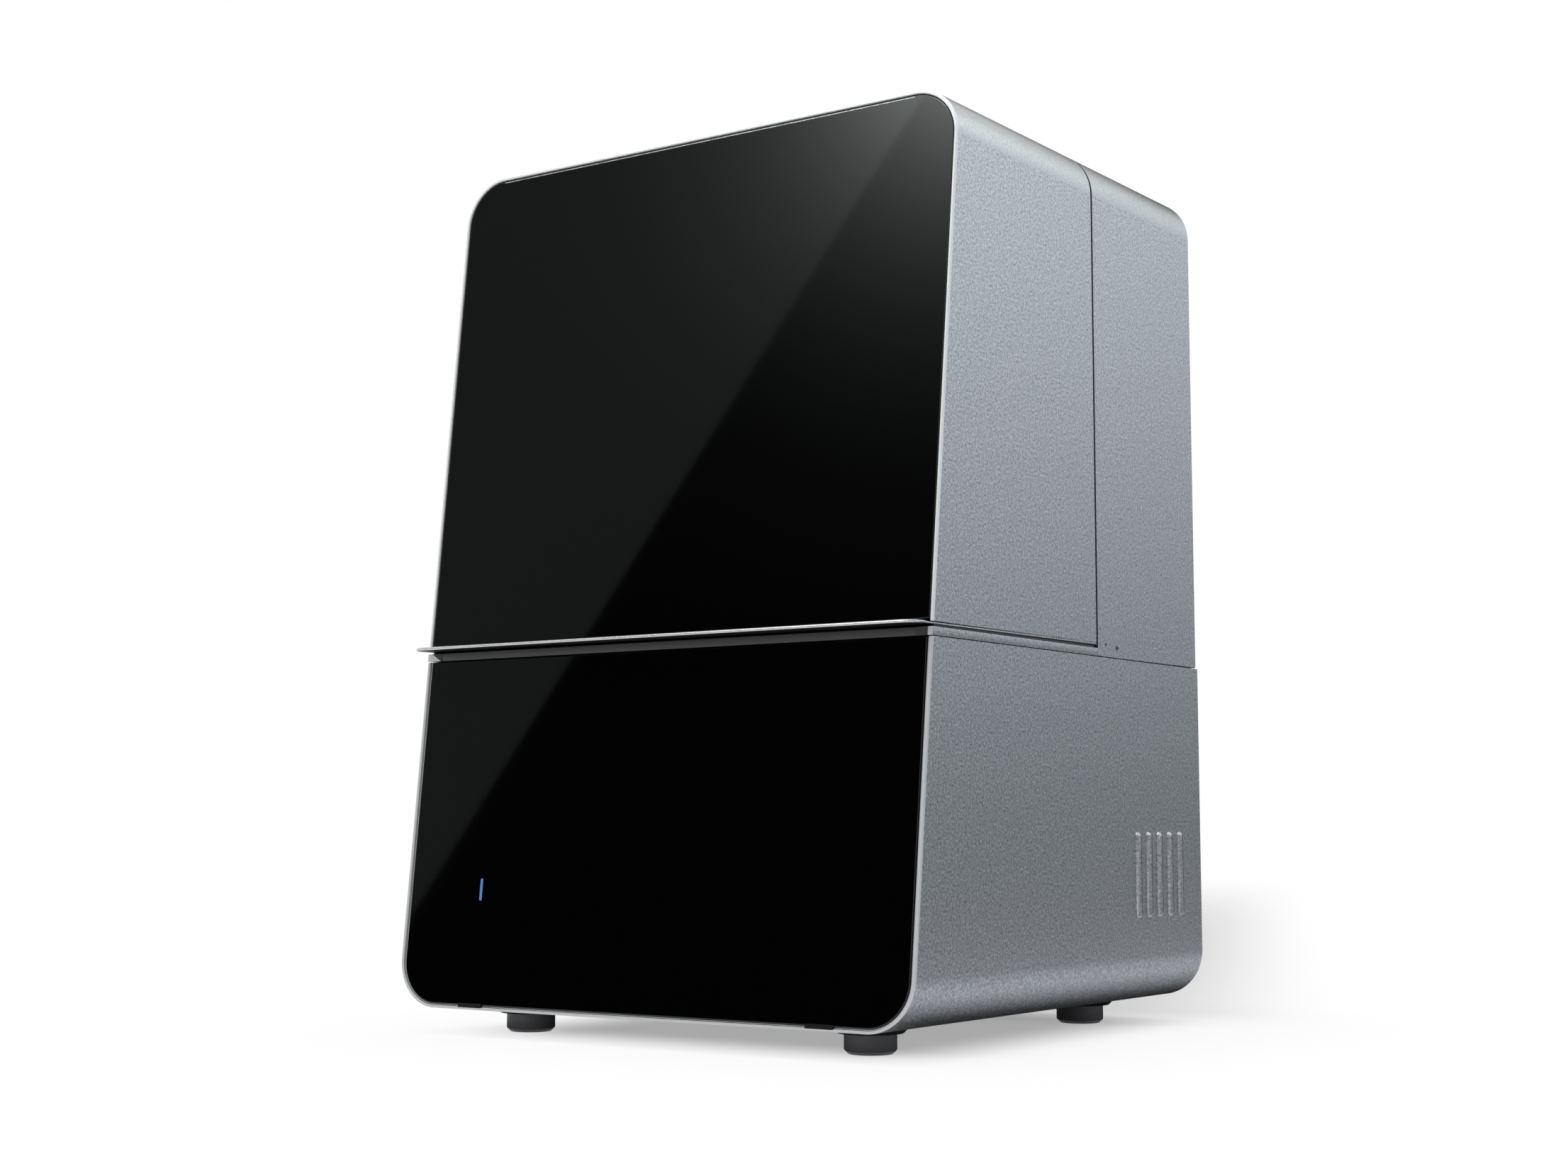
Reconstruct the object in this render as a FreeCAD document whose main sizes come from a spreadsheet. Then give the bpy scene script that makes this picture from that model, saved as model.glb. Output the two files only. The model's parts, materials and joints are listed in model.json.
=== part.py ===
import FreeCAD, Part
import Sketcher
import os

# A desktop resin printer: a metal case with a leaning black glass front, a hood that flips up,
# a vat over an exposure screen, and a build platform on a screw-driven lift.
# The frame is +Z up, +X to the right seen from the front, front towards -Y, origin on the ground
# under the middle of the case. Lengths are in millimetres, angles in degrees.

DIMENSIONS = {
    "Case": {
        "body_width": 400, "body_depth": 384, "front_lean": 6.05, "corner_radius": 32,
        "base_height": 228, "base_wall": 4, "seam_gap": 1.7, "ring_height": 3.7, "ring_width": 12,
        "ring_setback": 2, "rear_step": 3, "rim_chamfer": 1.2, "panel_thickness": 2, "panel_inset": 2,
        "panel_clearance": 0.3, "lug_size": 10, "panel_screw_radius": 1.5, "panel_head_radius": 3,
        "panel_head_height": 1.6, "panel_screw_length": 8, "side_pin_radius": 1, "side_pin_setback": 27,
        "side_pin_rise": 1.5, "roof_slot_width": 5, "roof_slot_length": 44, "roof_slot_pitch": 14,
    },
    "Vents": {
        "vent_pitch": 16, "vent_radius": 3.25, "vent_length": 55.3, "vent_rise": 2.2, "vent_skin": 0.9,
        "vent_bottom": 57.2, "vent_rear": 34.6, "vent_slot": 3.4, "floor_slot_width": 5,
        "floor_slot_length": 70, "floor_slot_pitch": 14,
    },
    "Feet": {
        "foot_height": 12.3, "foot_radius": 16, "foot_spacing_x": 268, "foot_spacing_y": 267,
        "foot_chamfer": 2.5, "pad_thickness": 5, "pad_margin": 4, "pad_chamfer": 2.4,
        "foot_screw_radius": 2.5, "foot_head_radius": 4.5, "foot_head_height": 3, "foot_recess_depth": 6,
        "foot_recess_margin": 1, "screw_clearance": 0.15,
    },
    "Hood": {
        "hood_gap": 2.2, "lip_thickness": 2.7, "lip_reach": 19.5, "lip_corner": 15, "lip_flange": 14,
        "lip_depth": 39.5, "hood_wall": 2.5, "hood_depth": 230, "side_seam": 2, "headroom": 7.3,
        "hinge_spacing": 260, "hinge_setback": 19, "hinge_drop": 10, "hinge_pin_radius": 2.5,
        "hub_radius": 4.5, "arm_plate": 6, "leg_length": 26, "leg_width": 7, "leg_tilt": 15,
        "hinge_reach": 34, "arm_flange": 2, "arm_flange_width": 24, "arm_flange_length": 26,
        "cheek_thickness": 3, "cheek_half_depth": 7, "hinge_side_gap": 0.3, "hinge_fit": 0.05,
        "bumper_radius": 4, "bumper_gap": 0.4, "bumper_front": 40, "bumper_rear": 12, "seal_thickness": 1.5,
        "seal_gap": 0.3, "seal_reach": 6, "seal_rise": 4, "seal_slot": 10,
    },
    "Glass": {
        "glass_thickness": 4, "glass_setback": 0.6, "glass_clearance": 0.6, "clip_width": 20,
        "clip_spacing": 272, "clip_notch": 2.8, "clip_fit": 0.1, "clip_rise": 8, "clip_depth": 12,
        "hood_clip_length": 16, "hood_clip_thickness": 8, "hood_clip_height": 24,
        "light_x": 134.6, "light_rise": 70.5, "light_width": 2.2, "light_height": 13.7,
        "light_fit": 0.15, "light_depth": 7, "display_width": 122, "display_height": 78,
        "display_thickness": 8, "display_rise": 95,
    },
    "Vat": {
        "vat_inner_width": 212, "vat_inner_depth": 140, "vat_wall": 14, "vat_height": 32,
        "vat_corner": 10, "vat_front_room": 28, "ear_length": 24, "ear_width": 40, "ear_thickness": 12,
        "ear_hole_clearance": 0.3, "film_thickness": 0.3, "film_gap": 0.1, "film_margin": 9,
        "film_ring_width": 11,
        "film_ring_height": 5, "film_ring_fit": 0.3, "stud_radius": 3, "stud_fit": 0.06,
        "vat_knob_radius": 11, "vat_knob_height": 15, "vat_knob_gap": 0.3, "flute_radius": 2.2,
        "lcd_width": 224, "lcd_depth": 150, "lcd_thickness": 2.5, "lcd_fit": 0.3,
        "aperture_width": 196, "aperture_depth": 124,
    },
    "Lift": {
        "travel": 200, "layer_gap": 0.3, "carriage_clearance": 4, "carriage_height": 100,
        "carriage_width": 130, "carriage_thickness": 10, "carriage_corner": 8, "rail_overrun": 5,
        "rail_thickness": 8, "rail_width": 12, "rail_spacing": 96, "rail_start": 2, "rail_groove": 1.5,
        "rail_groove_height": 2.6, "rail_groove_setback": 2.6,
        "block_width": 27, "block_length": 44, "block_cover": 5, "block_fit": 0.3, "block_lift": 2.4,
        "column_width": 150, "column_depth": 38, "column_web": 8, "channel_width": 54, "column_cap": 2,
        "column_foot": 14, "column_foot_height": 10, "cable_room": 36, "bearing_height": 14,
        "bearing_width": 70, "screw_radius": 6, "screw_setback": 14, "top_journal_radius": 4,
        "low_journal_radius": 5, "journal_fit": 0.08, "nut_width": 36, "nut_height": 40,
        "nut_rise": 30, "nut_wall": 14, "nut_fit": 0.1,
    },
    "Platform": {
        "platform_clearance": 7, "platform_thickness": 12, "platform_corner": 4, "boss_height": 12,
        "boss_width": 90, "boss_depth": 60, "boss_draft": 14, "arm_clearance": 8, "arm_height": 26,
        "arm_width": 66, "arm_nose": 30, "arm_slot": 26, "arm_wall": 9, "gusset_thickness": 8,
        "gusset_length": 60, "gusset_height": 34, "ball_radius": 13, "ball_stem_radius": 10, "ball_plate": 5,
        "ball_plate_width": 62, "ball_plate_depth": 44, "socket_fit": 0.3, "bolt_radius": 2.5,
        "bolt_head_radius": 4.25, "bolt_head_height": 4, "bolt_inset": 7, "knob_radius": 19,
        "knob_height": 18, "knob_collar_radius": 11, "knob_collar_height": 5, "knob_gap": 0.3,
        "knob_stud_radius": 4, "knob_stud_depth": 12, "knob_stud_fit": 0.06, "lobe_radius": 5,
    },
    "Drive": {
        "mount_width": 50, "mount_seat": 16, "mount_plate": 6, "mount_drop": 52, "post_radius": 3.5,
        "motor_width": 42.3, "motor_height": 48, "motor_boss_radius": 11, "motor_boss_height": 2,
        "coupling_radius": 12.5, "coupling_length": 30, "coupling_gap": 2,
        "motor_shaft_radius": 2.5, "motor_shaft_length": 24, "shaft_fit": 0.08,
    },
    "Light engine": {
        "shroud_wall": 4, "shroud_height": 87, "shroud_margin": 6, "lens_thickness": 5, "lens_rise": 16,
        "lens_fit": 0.3, "led_thickness": 3, "led_radius": 3, "led_height": 2, "led_pitch": 30,
        "sink_base": 6, "sink_fin_height": 30, "sink_fin": 3, "sink_pitch": 12,
    },
    "Base electrics": {
        "rail_leg": 22, "rail_flange": 26, "rail_sheet": 2, "supply_width": 190, "supply_depth": 110,
        "supply_height": 30, "supply_room": 2, "board_width": 120, "board_depth": 90,
        "board_thickness": 1.6, "standoff_height": 6, "standoff_radius": 3, "board_room": 2,
        "chip_size": 24, "chip_height": 6, "electrics_rear_room": 34,
    },
    "Back fittings": {
        "inlet_x": 130, "inlet_rise": 62, "inlet_flange_width": 31, "inlet_flange_height": 24,
        "inlet_body_width": 27.6, "inlet_body_height": 20, "inlet_depth": 22, "socket_width": 24,
        "socket_height": 16.4, "socket_depth": 16, "contact_width": 2, "contact_height": 4,
        "contact_length": 11, "contact_pitch": 7, "fitting_gap": 0.2,
        "switch_rise": 100, "switch_flange_width": 22, "switch_flange_height": 31,
        "switch_body_width": 19.5, "switch_body_height": 27.4, "switch_depth": 16,
        "rocker_width": 15.4, "rocker_height": 22.6, "rocker_thickness": 6, "rocker_gap": 0.4,
        "rocker_tilt": 8, "rocker_pivot_depth": 5, "trunnion_radius": 1.5, "trunnion_reach": 1,
        "trunnion_fit": 0.06, "fan_x": 70, "fan_rise": 130, "fan_size": 60, "fan_depth": 25,
        "fan_bore_radius": 28, "fan_hub_radius": 13, "fan_hub_plate": 3, "fan_strut": 3,
        "fan_axle_radius": 2, "fan_fit": 0.06, "fan_side_gap": 0.5, "blade_length": 13.2,
        "blade_chord": 16, "blade_thickness": 1.4, "blade_pitch": 38, "rotor_depth": 16,
        "guard_wire": 0.8, "guard_step": 8, "ports_rise": 62, "lan_x": 60, "lan_width": 16,
        "lan_height": 13.5, "lan_jack_width": 12, "lan_jack_height": 7.5, "port_depth": 18,
        "jack_depth": 12, "usb_x": 85, "usb_width": 14.4, "usb_height": 7, "usb_wall": 0.8,
        "usb_tongue": 1.8,
    },
}

VENT_COUNT = 5
FLOOR_SLOT_COUNT = 9
ROOF_SLOT_COUNT = 9
BLADE_COUNT = 7
SIDES = {"left": -1, "right": 1}

LEVELS = {
    "half_width": "dims.body_width / 2",
    "front": "-dims.body_depth / 2",
    "rear": "dims.body_depth / 2",
    "slope": "tan(dims.front_lean)",
    "body_bottom": "dims.foot_height + dims.pad_thickness",
    "floor": "body_bottom + dims.base_wall",
    "base_top": "body_bottom + dims.base_height",
    "ring_bottom": "base_top + dims.seam_gap",
    "deck": "ring_bottom + dims.ring_height",
    "lip_bottom": "deck + dims.hood_gap",
    "hood_bottom": "lip_bottom + dims.lip_thickness",
    "carriage_bottom": "deck + dims.carriage_clearance + dims.travel",
    "rail_top": "carriage_bottom + dims.carriage_height + dims.rail_overrun",
    "column_top": "rail_top + dims.column_cap",
    "roof": "column_top + dims.bearing_height + dims.headroom",
    "top": "roof + dims.hood_wall",
    "hood_rear": "front + dims.hood_depth",
    "housing_front": "hood_rear + dims.side_seam",
    "housing_rear": "rear - dims.rear_step",
    "pivot_y": "housing_front + dims.hinge_setback",
    "pivot_z": "top - dims.hinge_drop",
    "upper_panel": "housing_rear - dims.panel_inset - dims.panel_thickness",
    "lower_panel": "rear - dims.panel_inset - dims.panel_thickness",
    "deck_front": "front + (ring_bottom - body_bottom) * slope",
    "lip_front": "front + (lip_bottom - body_bottom) * slope - dims.lip_reach",
    "vat_depth": "dims.vat_inner_depth + 2 * dims.vat_wall",
    "vat_width": "dims.vat_inner_width + 2 * dims.vat_wall",
    "vat_front": "deck_front + dims.vat_front_room",
    "vat_centre": "vat_front + vat_depth / 2",
    "vat_top": "deck + dims.vat_height",
    "ear_centre": "vat_width / 2 + dims.ear_length / 2",
    "film_bottom": "deck + dims.film_gap",
    "film_top": "film_bottom + dims.film_thickness",
    "column_back": "upper_panel - dims.cable_room",
    "column_front": "column_back - dims.column_depth",
    "rail_front": "column_front - dims.rail_thickness",
    "block_front": "rail_front - dims.block_cover",
    "carriage_front": "block_front - dims.carriage_thickness",
    "screw_y": "column_front + dims.screw_setback",
    "platform_bottom": "film_top + dims.layer_gap + dims.travel",
    "platform_width": "dims.vat_inner_width - 2 * dims.platform_clearance",
    "platform_depth": "dims.vat_inner_depth - 2 * dims.platform_clearance",
    "boss_top": "platform_bottom + dims.platform_thickness + dims.boss_height",
    "arm_bottom": "vat_top + dims.arm_clearance + dims.travel",
    "arm_top": "arm_bottom + dims.arm_height",
    "arm_front": "vat_centre - dims.arm_nose",
    "mount_bottom": "ring_bottom - dims.mount_drop",
    "shaft_top": "mount_bottom - dims.mount_plate + dims.motor_shaft_length",
    "shroud_bottom": "ring_bottom - dims.shroud_height",
    "shroud_width": "dims.aperture_width + 2 * dims.shroud_margin + 2 * dims.shroud_wall",
    "shroud_depth": "dims.aperture_depth + 2 * dims.shroud_margin + 2 * dims.shroud_wall",
    "led_bottom": "shroud_bottom - dims.led_thickness",
    "panel_face": "rear - dims.panel_inset",
    "inlet_z": "body_bottom + dims.inlet_rise",
    "switch_z": "body_bottom + dims.switch_rise",
    "rocker_y": "panel_face - dims.rocker_pivot_depth + dims.panel_inset",
    "fan_z": "body_bottom + dims.fan_rise",
    "ports_z": "body_bottom + dims.ports_rise",
}

Vector = FreeCAD.Vector
Rotation = FreeCAD.Rotation
TURN = {
    "x": Rotation(Vector(0, 1, 0), 90),
    "y": Rotation(Vector(-1, 0, 0), 90),
    "z": Rotation(),
}

doc = FreeCAD.newDocument("resin_printer")
sheet = doc.addObject("Spreadsheet::Sheet", "dims")
row = 0
for section, sizes in DIMENSIONS.items():
    row += 1
    sheet.set(f"A{row}", section)
    for alias, size in sizes.items():
        row += 1
        sheet.set(f"A{row}", alias)
        sheet.set(f"B{row}", str(size))
        sheet.setAlias(f"B{row}", alias)
doc.recompute()

datum = doc.addObject("App::VarSet", "datum")
for level_name, level_expression in LEVELS.items():
    datum.addProperty("App::PropertyFloat", level_name)
    datum.setExpression(level_name, level_expression)
doc.recompute()

nodes = []


def value(expression):
    """The number that an expression over the sheet and the levels comes to."""
    return float(sheet.evalExpression(str(expression)))


def front_at(z):
    """Expression for the y of the leaning front plane at height z."""
    return f"(datum.front + ({z} - datum.body_bottom) * datum.slope)"


def place(piece, x, y, z):
    """Bind a piece's place to three expressions."""
    for axis, expression in zip("xyz", (x, y, z)):
        piece.setExpression(f"Placement.Base.{axis}", str(expression))
    return piece


def primitive(kind, name, x, y, z, turn=None, **sizes):
    """A Part primitive with its place and sizes bound to expressions."""
    piece = doc.addObject(f"Part::{kind}", name)
    if turn is not None:
        piece.Placement = FreeCAD.Placement(Vector(), turn)
    for size_name, expression in sizes.items():
        piece.setExpression(size_name, str(expression))
    return place(piece, x, y, z)


def box(name, x, y, z, length, width, height, turn=None):
    """A box from its lowest corner."""
    return primitive("Box", name, x, y, z, turn, Length=length, Width=width, Height=height)


def block(name, x, y, z, length, width, height):
    """A box centred on x, from y and z upwards."""
    return box(name, f"({x}) - ({length}) / 2", y, z, length, width, height)


def rod(name, x, y, z, radius, length, along="z"):
    """A cylinder from the centre of its first end, along one axis."""
    return primitive("Cylinder", name, x, y, z, TURN[along], Radius=radius, Height=length)


def cone(name, x, y, z, first, last, length, along="z"):
    """A cone between two radii, from the centre of its first end."""
    return primitive("Cone", name, x, y, z, TURN[along], Radius1=first, Radius2=last, Height=length)


def fuse(name, *pieces):
    """The union of several pieces."""
    union = doc.addObject("Part::MultiFuse", name)
    union.Shapes = list(pieces)
    union.Refine = True
    return union


def cut(name, base, *tools):
    """A piece less one or more tools."""
    rest = doc.addObject("Part::Cut", name)
    rest.Base = base
    rest.Tool = tools[0] if len(tools) == 1 else fuse(f"{name}_tools", *tools)
    rest.Refine = True
    return rest


def group(name, *pieces):
    """Separate solids that share one node."""
    together = doc.addObject("Part::Compound", name)
    together.Links = list(pieces)
    return together


def node(label, piece):
    """Register a finished sub-part under its label."""
    piece.Label = label
    nodes.append(piece)
    return piece


def leaning(piece, x, inset, z):
    """Lay a piece along the leaning front, its origin a given depth behind the front plane."""
    piece.Placement = FreeCAD.Placement(Vector(), Rotation(Vector(-1, 0, 0), value("dims.front_lean")))
    piece.setExpression("Placement.Rotation.Angle", "dims.front_lean")
    y = f"{front_at(z)} + ({inset}) * cos(dims.front_lean)"
    return place(piece, x, y, f"({z}) - ({inset}) * sin(dims.front_lean)")


def leaning_block(name, x, inset, z, length, thickness, height):
    """A box along the leaning front, centred on x."""
    piece = doc.addObject("Part::Box", name)
    for size_name, expression in (("Length", length), ("Width", thickness), ("Height", height)):
        piece.setExpression(size_name, str(expression))
    return leaning(piece, f"({x}) - ({length}) / 2", inset, z)


def front_cutter(name):
    """Everything in front of the leaning front plane."""
    reach = "dims.body_depth"
    drop = "datum.top"
    piece = doc.addObject("Part::Box", name)
    piece.Placement = FreeCAD.Placement(Vector(), Rotation(Vector(-1, 0, 0), value("dims.front_lean")))
    piece.setExpression("Placement.Rotation.Angle", "dims.front_lean")
    piece.setExpression("Length", "2 * dims.body_width")
    piece.setExpression("Width", reach)
    piece.setExpression("Height", f"3 * {drop}")
    y = f"datum.front - {reach} * cos(dims.front_lean) - {drop} * sin(dims.front_lean)"
    z = f"datum.body_bottom + {reach} * sin(dims.front_lean) - {drop} * cos(dims.front_lean)"
    return place(piece, "-dims.body_width", y, z)


def outline(body, name, plane, width, height, radius=None, corners=(), rise=None):
    """A rectangle centred on the sketch's upright axis, with its bottom or top pair of corners rounded."""
    sketch = body.newObject("Sketcher::SketchObject", name)
    support = next(feature for feature in body.Origin.OriginFeatures if feature.Role == plane)
    sketch.AttachmentSupport = [(support, "")]
    sketch.MapMode = "FlatFace"
    half = value(width) / 2
    low = value(rise) if rise else 0.0
    high = low + value(height)
    low_round = value(radius) if "bottom" in corners else 0.0
    high_round = value(radius) if "top" in corners else 0.0
    ends = [
        ((low_round - half, low), (half - low_round, low)),
        ((half, low + low_round), (half, high - high_round)),
        ((half - high_round, high), (high_round - half, high)),
        ((-half, high - high_round), (-half, low + low_round)),
    ]
    lines = [sketch.addGeometry(Part.LineSegment(Vector(*a, 0), Vector(*b, 0))) for a, b in ends]
    rounds = (low_round, high_round, high_round, low_round)
    centres = ((1, low + low_round), (1, high - high_round), (-1, high - high_round), (-1, low + low_round))
    arcs = []
    for index, (rounding, (side, middle)) in enumerate(zip(rounds, centres)):
        first, second = lines[index], lines[(index + 1) % 4]
        if not rounding:
            sketch.addConstraint(Sketcher.Constraint("Coincident", first, 2, second, 1))
            continue
        circle = Part.Circle(Vector(side * (half - rounding), middle, 0), Vector(0, 0, 1), rounding)
        quarter = FreeCAD.Units.Quantity("90 deg").getValueAs("rad").Value
        arc = sketch.addGeometry(Part.ArcOfCircle(circle, (index - 1) * quarter, index * quarter))
        sketch.addConstraint(Sketcher.Constraint("Tangent", first, 2, arc, 1))
        sketch.addConstraint(Sketcher.Constraint("Tangent", arc, 2, second, 1))
        arcs.append(arc)
    for index, direction in enumerate(("Horizontal", "Vertical", "Horizontal", "Vertical")):
        sketch.addConstraint(Sketcher.Constraint(direction, lines[index]))
    for arc in arcs[1:]:
        sketch.addConstraint(Sketcher.Constraint("Equal", arcs[0], arc))
    sized = [
        ("left", Sketcher.Constraint("DistanceX", lines[3], 1, -1, 1, half), f"({width}) / 2"),
        ("right", Sketcher.Constraint("DistanceX", -1, 1, lines[1], 1, half), f"({width}) / 2"),
        ("height", Sketcher.Constraint("DistanceY", lines[0], 1, lines[2], 1, high - low), height),
    ]
    if rise:
        sized.append(("rise", Sketcher.Constraint("DistanceY", -1, 1, lines[0], 1, low), rise))
    else:
        sketch.addConstraint(Sketcher.Constraint("PointOnObject", lines[0], 1, -1))
    if arcs:
        sized.append(("rounding", Sketcher.Constraint("Radius", arcs[0], value(radius)), radius))
    for size_name, constraint, expression in sized:
        number = sketch.addConstraint(constraint)
        sketch.renameConstraint(number, size_name)
        sketch.setExpression(f"Constraints.{size_name}", str(expression))
    return sketch


def plate(name, plane, width, height, depth, radius=None, corners=()):
    """A body padded from one outline: +Y from an upright outline, +Z from a flat one."""
    body = doc.addObject("PartDesign::Body", name)
    pad = body.newObject("PartDesign::Pad", f"{name}_pad")
    pad.Profile = outline(body, f"{name}_outline", plane, width, height, radius, corners)
    pad.setExpression("Length", str(depth))
    pad.Reversed = plane == "XZ_Plane"
    body.Tip = pad
    return body


def open_up(body, plane, width, height, radius=None, corners=(), rise=None):
    """Pocket a second outline right through a plate."""
    pocket = body.newObject("PartDesign::Pocket", f"{body.Name}_pocket")
    pocket.Profile = outline(body, f"{body.Name}_opening", plane, width, height, radius, corners, rise)
    pocket.Type = "ThroughAll"
    pocket.Reversed = plane == "XY_Plane"
    body.Tip = pocket
    return body


def case_shell(name, height, wall, corners, depth):
    """A folded case wall: rounded at the named pair of corners, open at the other end."""
    body = plate(name, "XZ_Plane", "dims.body_width", height, depth, "dims.corner_radius", corners)
    rise = wall if "bottom" in corners else None
    inner_width = f"dims.body_width - 2 * {wall}"
    inner_radius = f"dims.corner_radius - {wall}"
    return open_up(body, "XZ_Plane", inner_width, f"{height} - {wall}", inner_radius, corners, rise)


def front_rim(name, base, rim_radius):
    """Chamfer the outer front edge of a case wall where it meets the leaning front plane."""
    doc.recompute()
    half_width = value("datum.half_width")
    level_ends = (value("datum.body_bottom"), value("datum.top"))
    size = value("dims.rim_chamfer")
    tolerance = 0.001
    chosen = []
    for number, edge in enumerate(base.Shape.Edges, start=1):
        middle = edge.valueAt((edge.FirstParameter + edge.LastParameter) / 2)
        if abs(middle.y - value(front_at(middle.z))) > tolerance:
            continue
        on_side = abs(abs(middle.x) - half_width) < tolerance
        on_end = min(abs(middle.z - end) for end in level_ends) < tolerance
        is_arc = isinstance(edge.Curve, Part.Ellipse)
        is_corner = is_arc and abs(edge.Curve.MinorRadius - rim_radius) < tolerance
        if on_side or on_end or is_corner:
            chosen.append((number, size, size))
    rim = doc.addObject("Part::Chamfer", name)
    rim.Base = base
    rim.Edges = chosen
    return rim


def foot_places():
    """Name, x and y of each foot."""
    for side_name, side in SIDES.items():
        for end_name, end in (("front", -1), ("rear", 1)):
            x = f"{side} * dims.foot_spacing_x / 2"
            y = f"{end} * dims.foot_spacing_y / 2"
            yield f"{side_name}_{end_name}", x, y


def panel_screw_places():
    """Name, x, z, panel face and wall of each back panel screw."""
    levels = {
        "low": ("datum.floor + dims.corner_radius", "datum.lower_panel", "dims.base_wall"),
        "middle": ("datum.base_top - dims.corner_radius", "datum.lower_panel", "dims.base_wall"),
        "upper": ("datum.deck + dims.corner_radius", "datum.upper_panel", "dims.hood_wall"),
        "high": ("datum.roof - dims.corner_radius", "datum.upper_panel", "dims.hood_wall"),
    }
    for side_name, side in SIDES.items():
        for level_name, (z, face, wall) in levels.items():
            x = f"{side} * (datum.half_width - {wall} - dims.lug_size / 2)"
            yield f"{side_name}_{level_name}", x, z, face, wall


def panel_lugs(wall):
    """Screw lugs inside a case wall, just ahead of its back panel, and their holes."""
    lugs = []
    holes = []
    for name, x, z, face, lug_wall in panel_screw_places():
        if lug_wall != wall:
            continue
        y = f"{face} - dims.lug_size"
        lug_z = f"{z} - dims.lug_size / 2"
        lugs.append(block(f"lug_{name}", x, y, lug_z, "dims.lug_size", "dims.lug_size", "dims.lug_size"))
        radius = "dims.panel_screw_radius + dims.screw_clearance"
        holes.append(rod(f"lug_hole_{name}", x, y, z, radius, "dims.lug_size", "y"))
    return lugs, holes


def side_vents():
    """Raised vent beads on both sides, and the slots that open them to the inside."""
    beads = []
    slots = []
    for side_name, side in SIDES.items():
        for index in range(VENT_COUNT):
            name = f"vent_{side_name}_{index}"
            x = f"{side} * (datum.half_width + dims.vent_rise - dims.vent_radius)"
            y = f"datum.rear - dims.vent_rear - {index} * dims.vent_pitch"
            low = "datum.body_bottom + dims.vent_bottom + dims.vent_radius"
            length = "dims.vent_length - 2 * dims.vent_radius"
            stem = rod(f"{name}_stem", x, y, low, "dims.vent_radius", length)
            ends = [
                primitive("Sphere", f"{name}_end_{end}", x, y, f"{low} + {end} * ({length})",
                          Radius="dims.vent_radius")
                for end in (0, 1)
            ]
            beads += [stem, *ends]
            depth = "dims.base_wall + dims.vent_rise - dims.vent_skin"
            slot_x = f"{side} * (datum.half_width - dims.base_wall + ({depth}) / 2)"
            slot_y = f"{y} - dims.vent_slot / 2"
            slots.append(block(f"{name}_slot", slot_x, slot_y, low, depth, "dims.vent_slot", length))
            slit_x = f"{side} * (datum.half_width + (dims.vent_rise - dims.vent_skin) / 2)"
            slit = "dims.vent_rise - dims.vent_skin"
            slots.append(block(f"{name}_slit", slit_x, y, low, slit, "dims.vent_radius", length))
    return beads, slots


def base_shell():
    """Floor and side walls of the base, with vents, panel lugs, clip notches and foot holes."""
    body = case_shell("base_case", "dims.base_height", "dims.base_wall", ("bottom",), "dims.body_depth")
    place(body, 0, "datum.front", "datum.body_bottom")
    beads, tools = side_vents()
    lugs, lug_holes = panel_lugs("dims.base_wall")
    tools += lug_holes
    inside_width = "dims.body_width - 2 * dims.base_wall"
    inside = block("base_inside", 0, "datum.front", "datum.floor + dims.corner_radius", inside_width,
                   "dims.body_depth", "dims.base_height - dims.corner_radius - dims.lug_size")
    beads_outside = cut("vent_beads", fuse("vent_bead_rows", *beads), inside)
    for side_name, side in SIDES.items():
        tools.append(block(f"clip_notch_{side_name}", f"{side} * dims.clip_spacing / 2", "datum.front",
                           "datum.floor - dims.clip_notch", "dims.clip_width",
                           "dims.clip_depth + dims.clip_fit",
                           "dims.clip_notch"))
    for name, x, y in foot_places():
        radius = "dims.foot_screw_radius + dims.screw_clearance"
        tools.append(rod(f"foot_hole_{name}", x, y, "datum.body_bottom", radius, "dims.base_wall"))
    for index in range(FLOOR_SLOT_COUNT):
        slot_x = f"({index} - {(FLOOR_SLOT_COUNT - 1) / 2}) * dims.floor_slot_pitch"
        tools.append(block(f"floor_slot_{index}", slot_x, "datum.vat_centre - dims.floor_slot_length / 2",
                           "datum.body_bottom", "dims.floor_slot_width", "dims.floor_slot_length",
                           "dims.base_wall"))
    solid = fuse("base_solid", body, beads_outside, *lugs)
    trimmed = cut("base_trimmed", solid, front_cutter("base_front"), *tools)
    return node("base_shell", front_rim("base_shell", trimmed, value("dims.corner_radius")))


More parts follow.
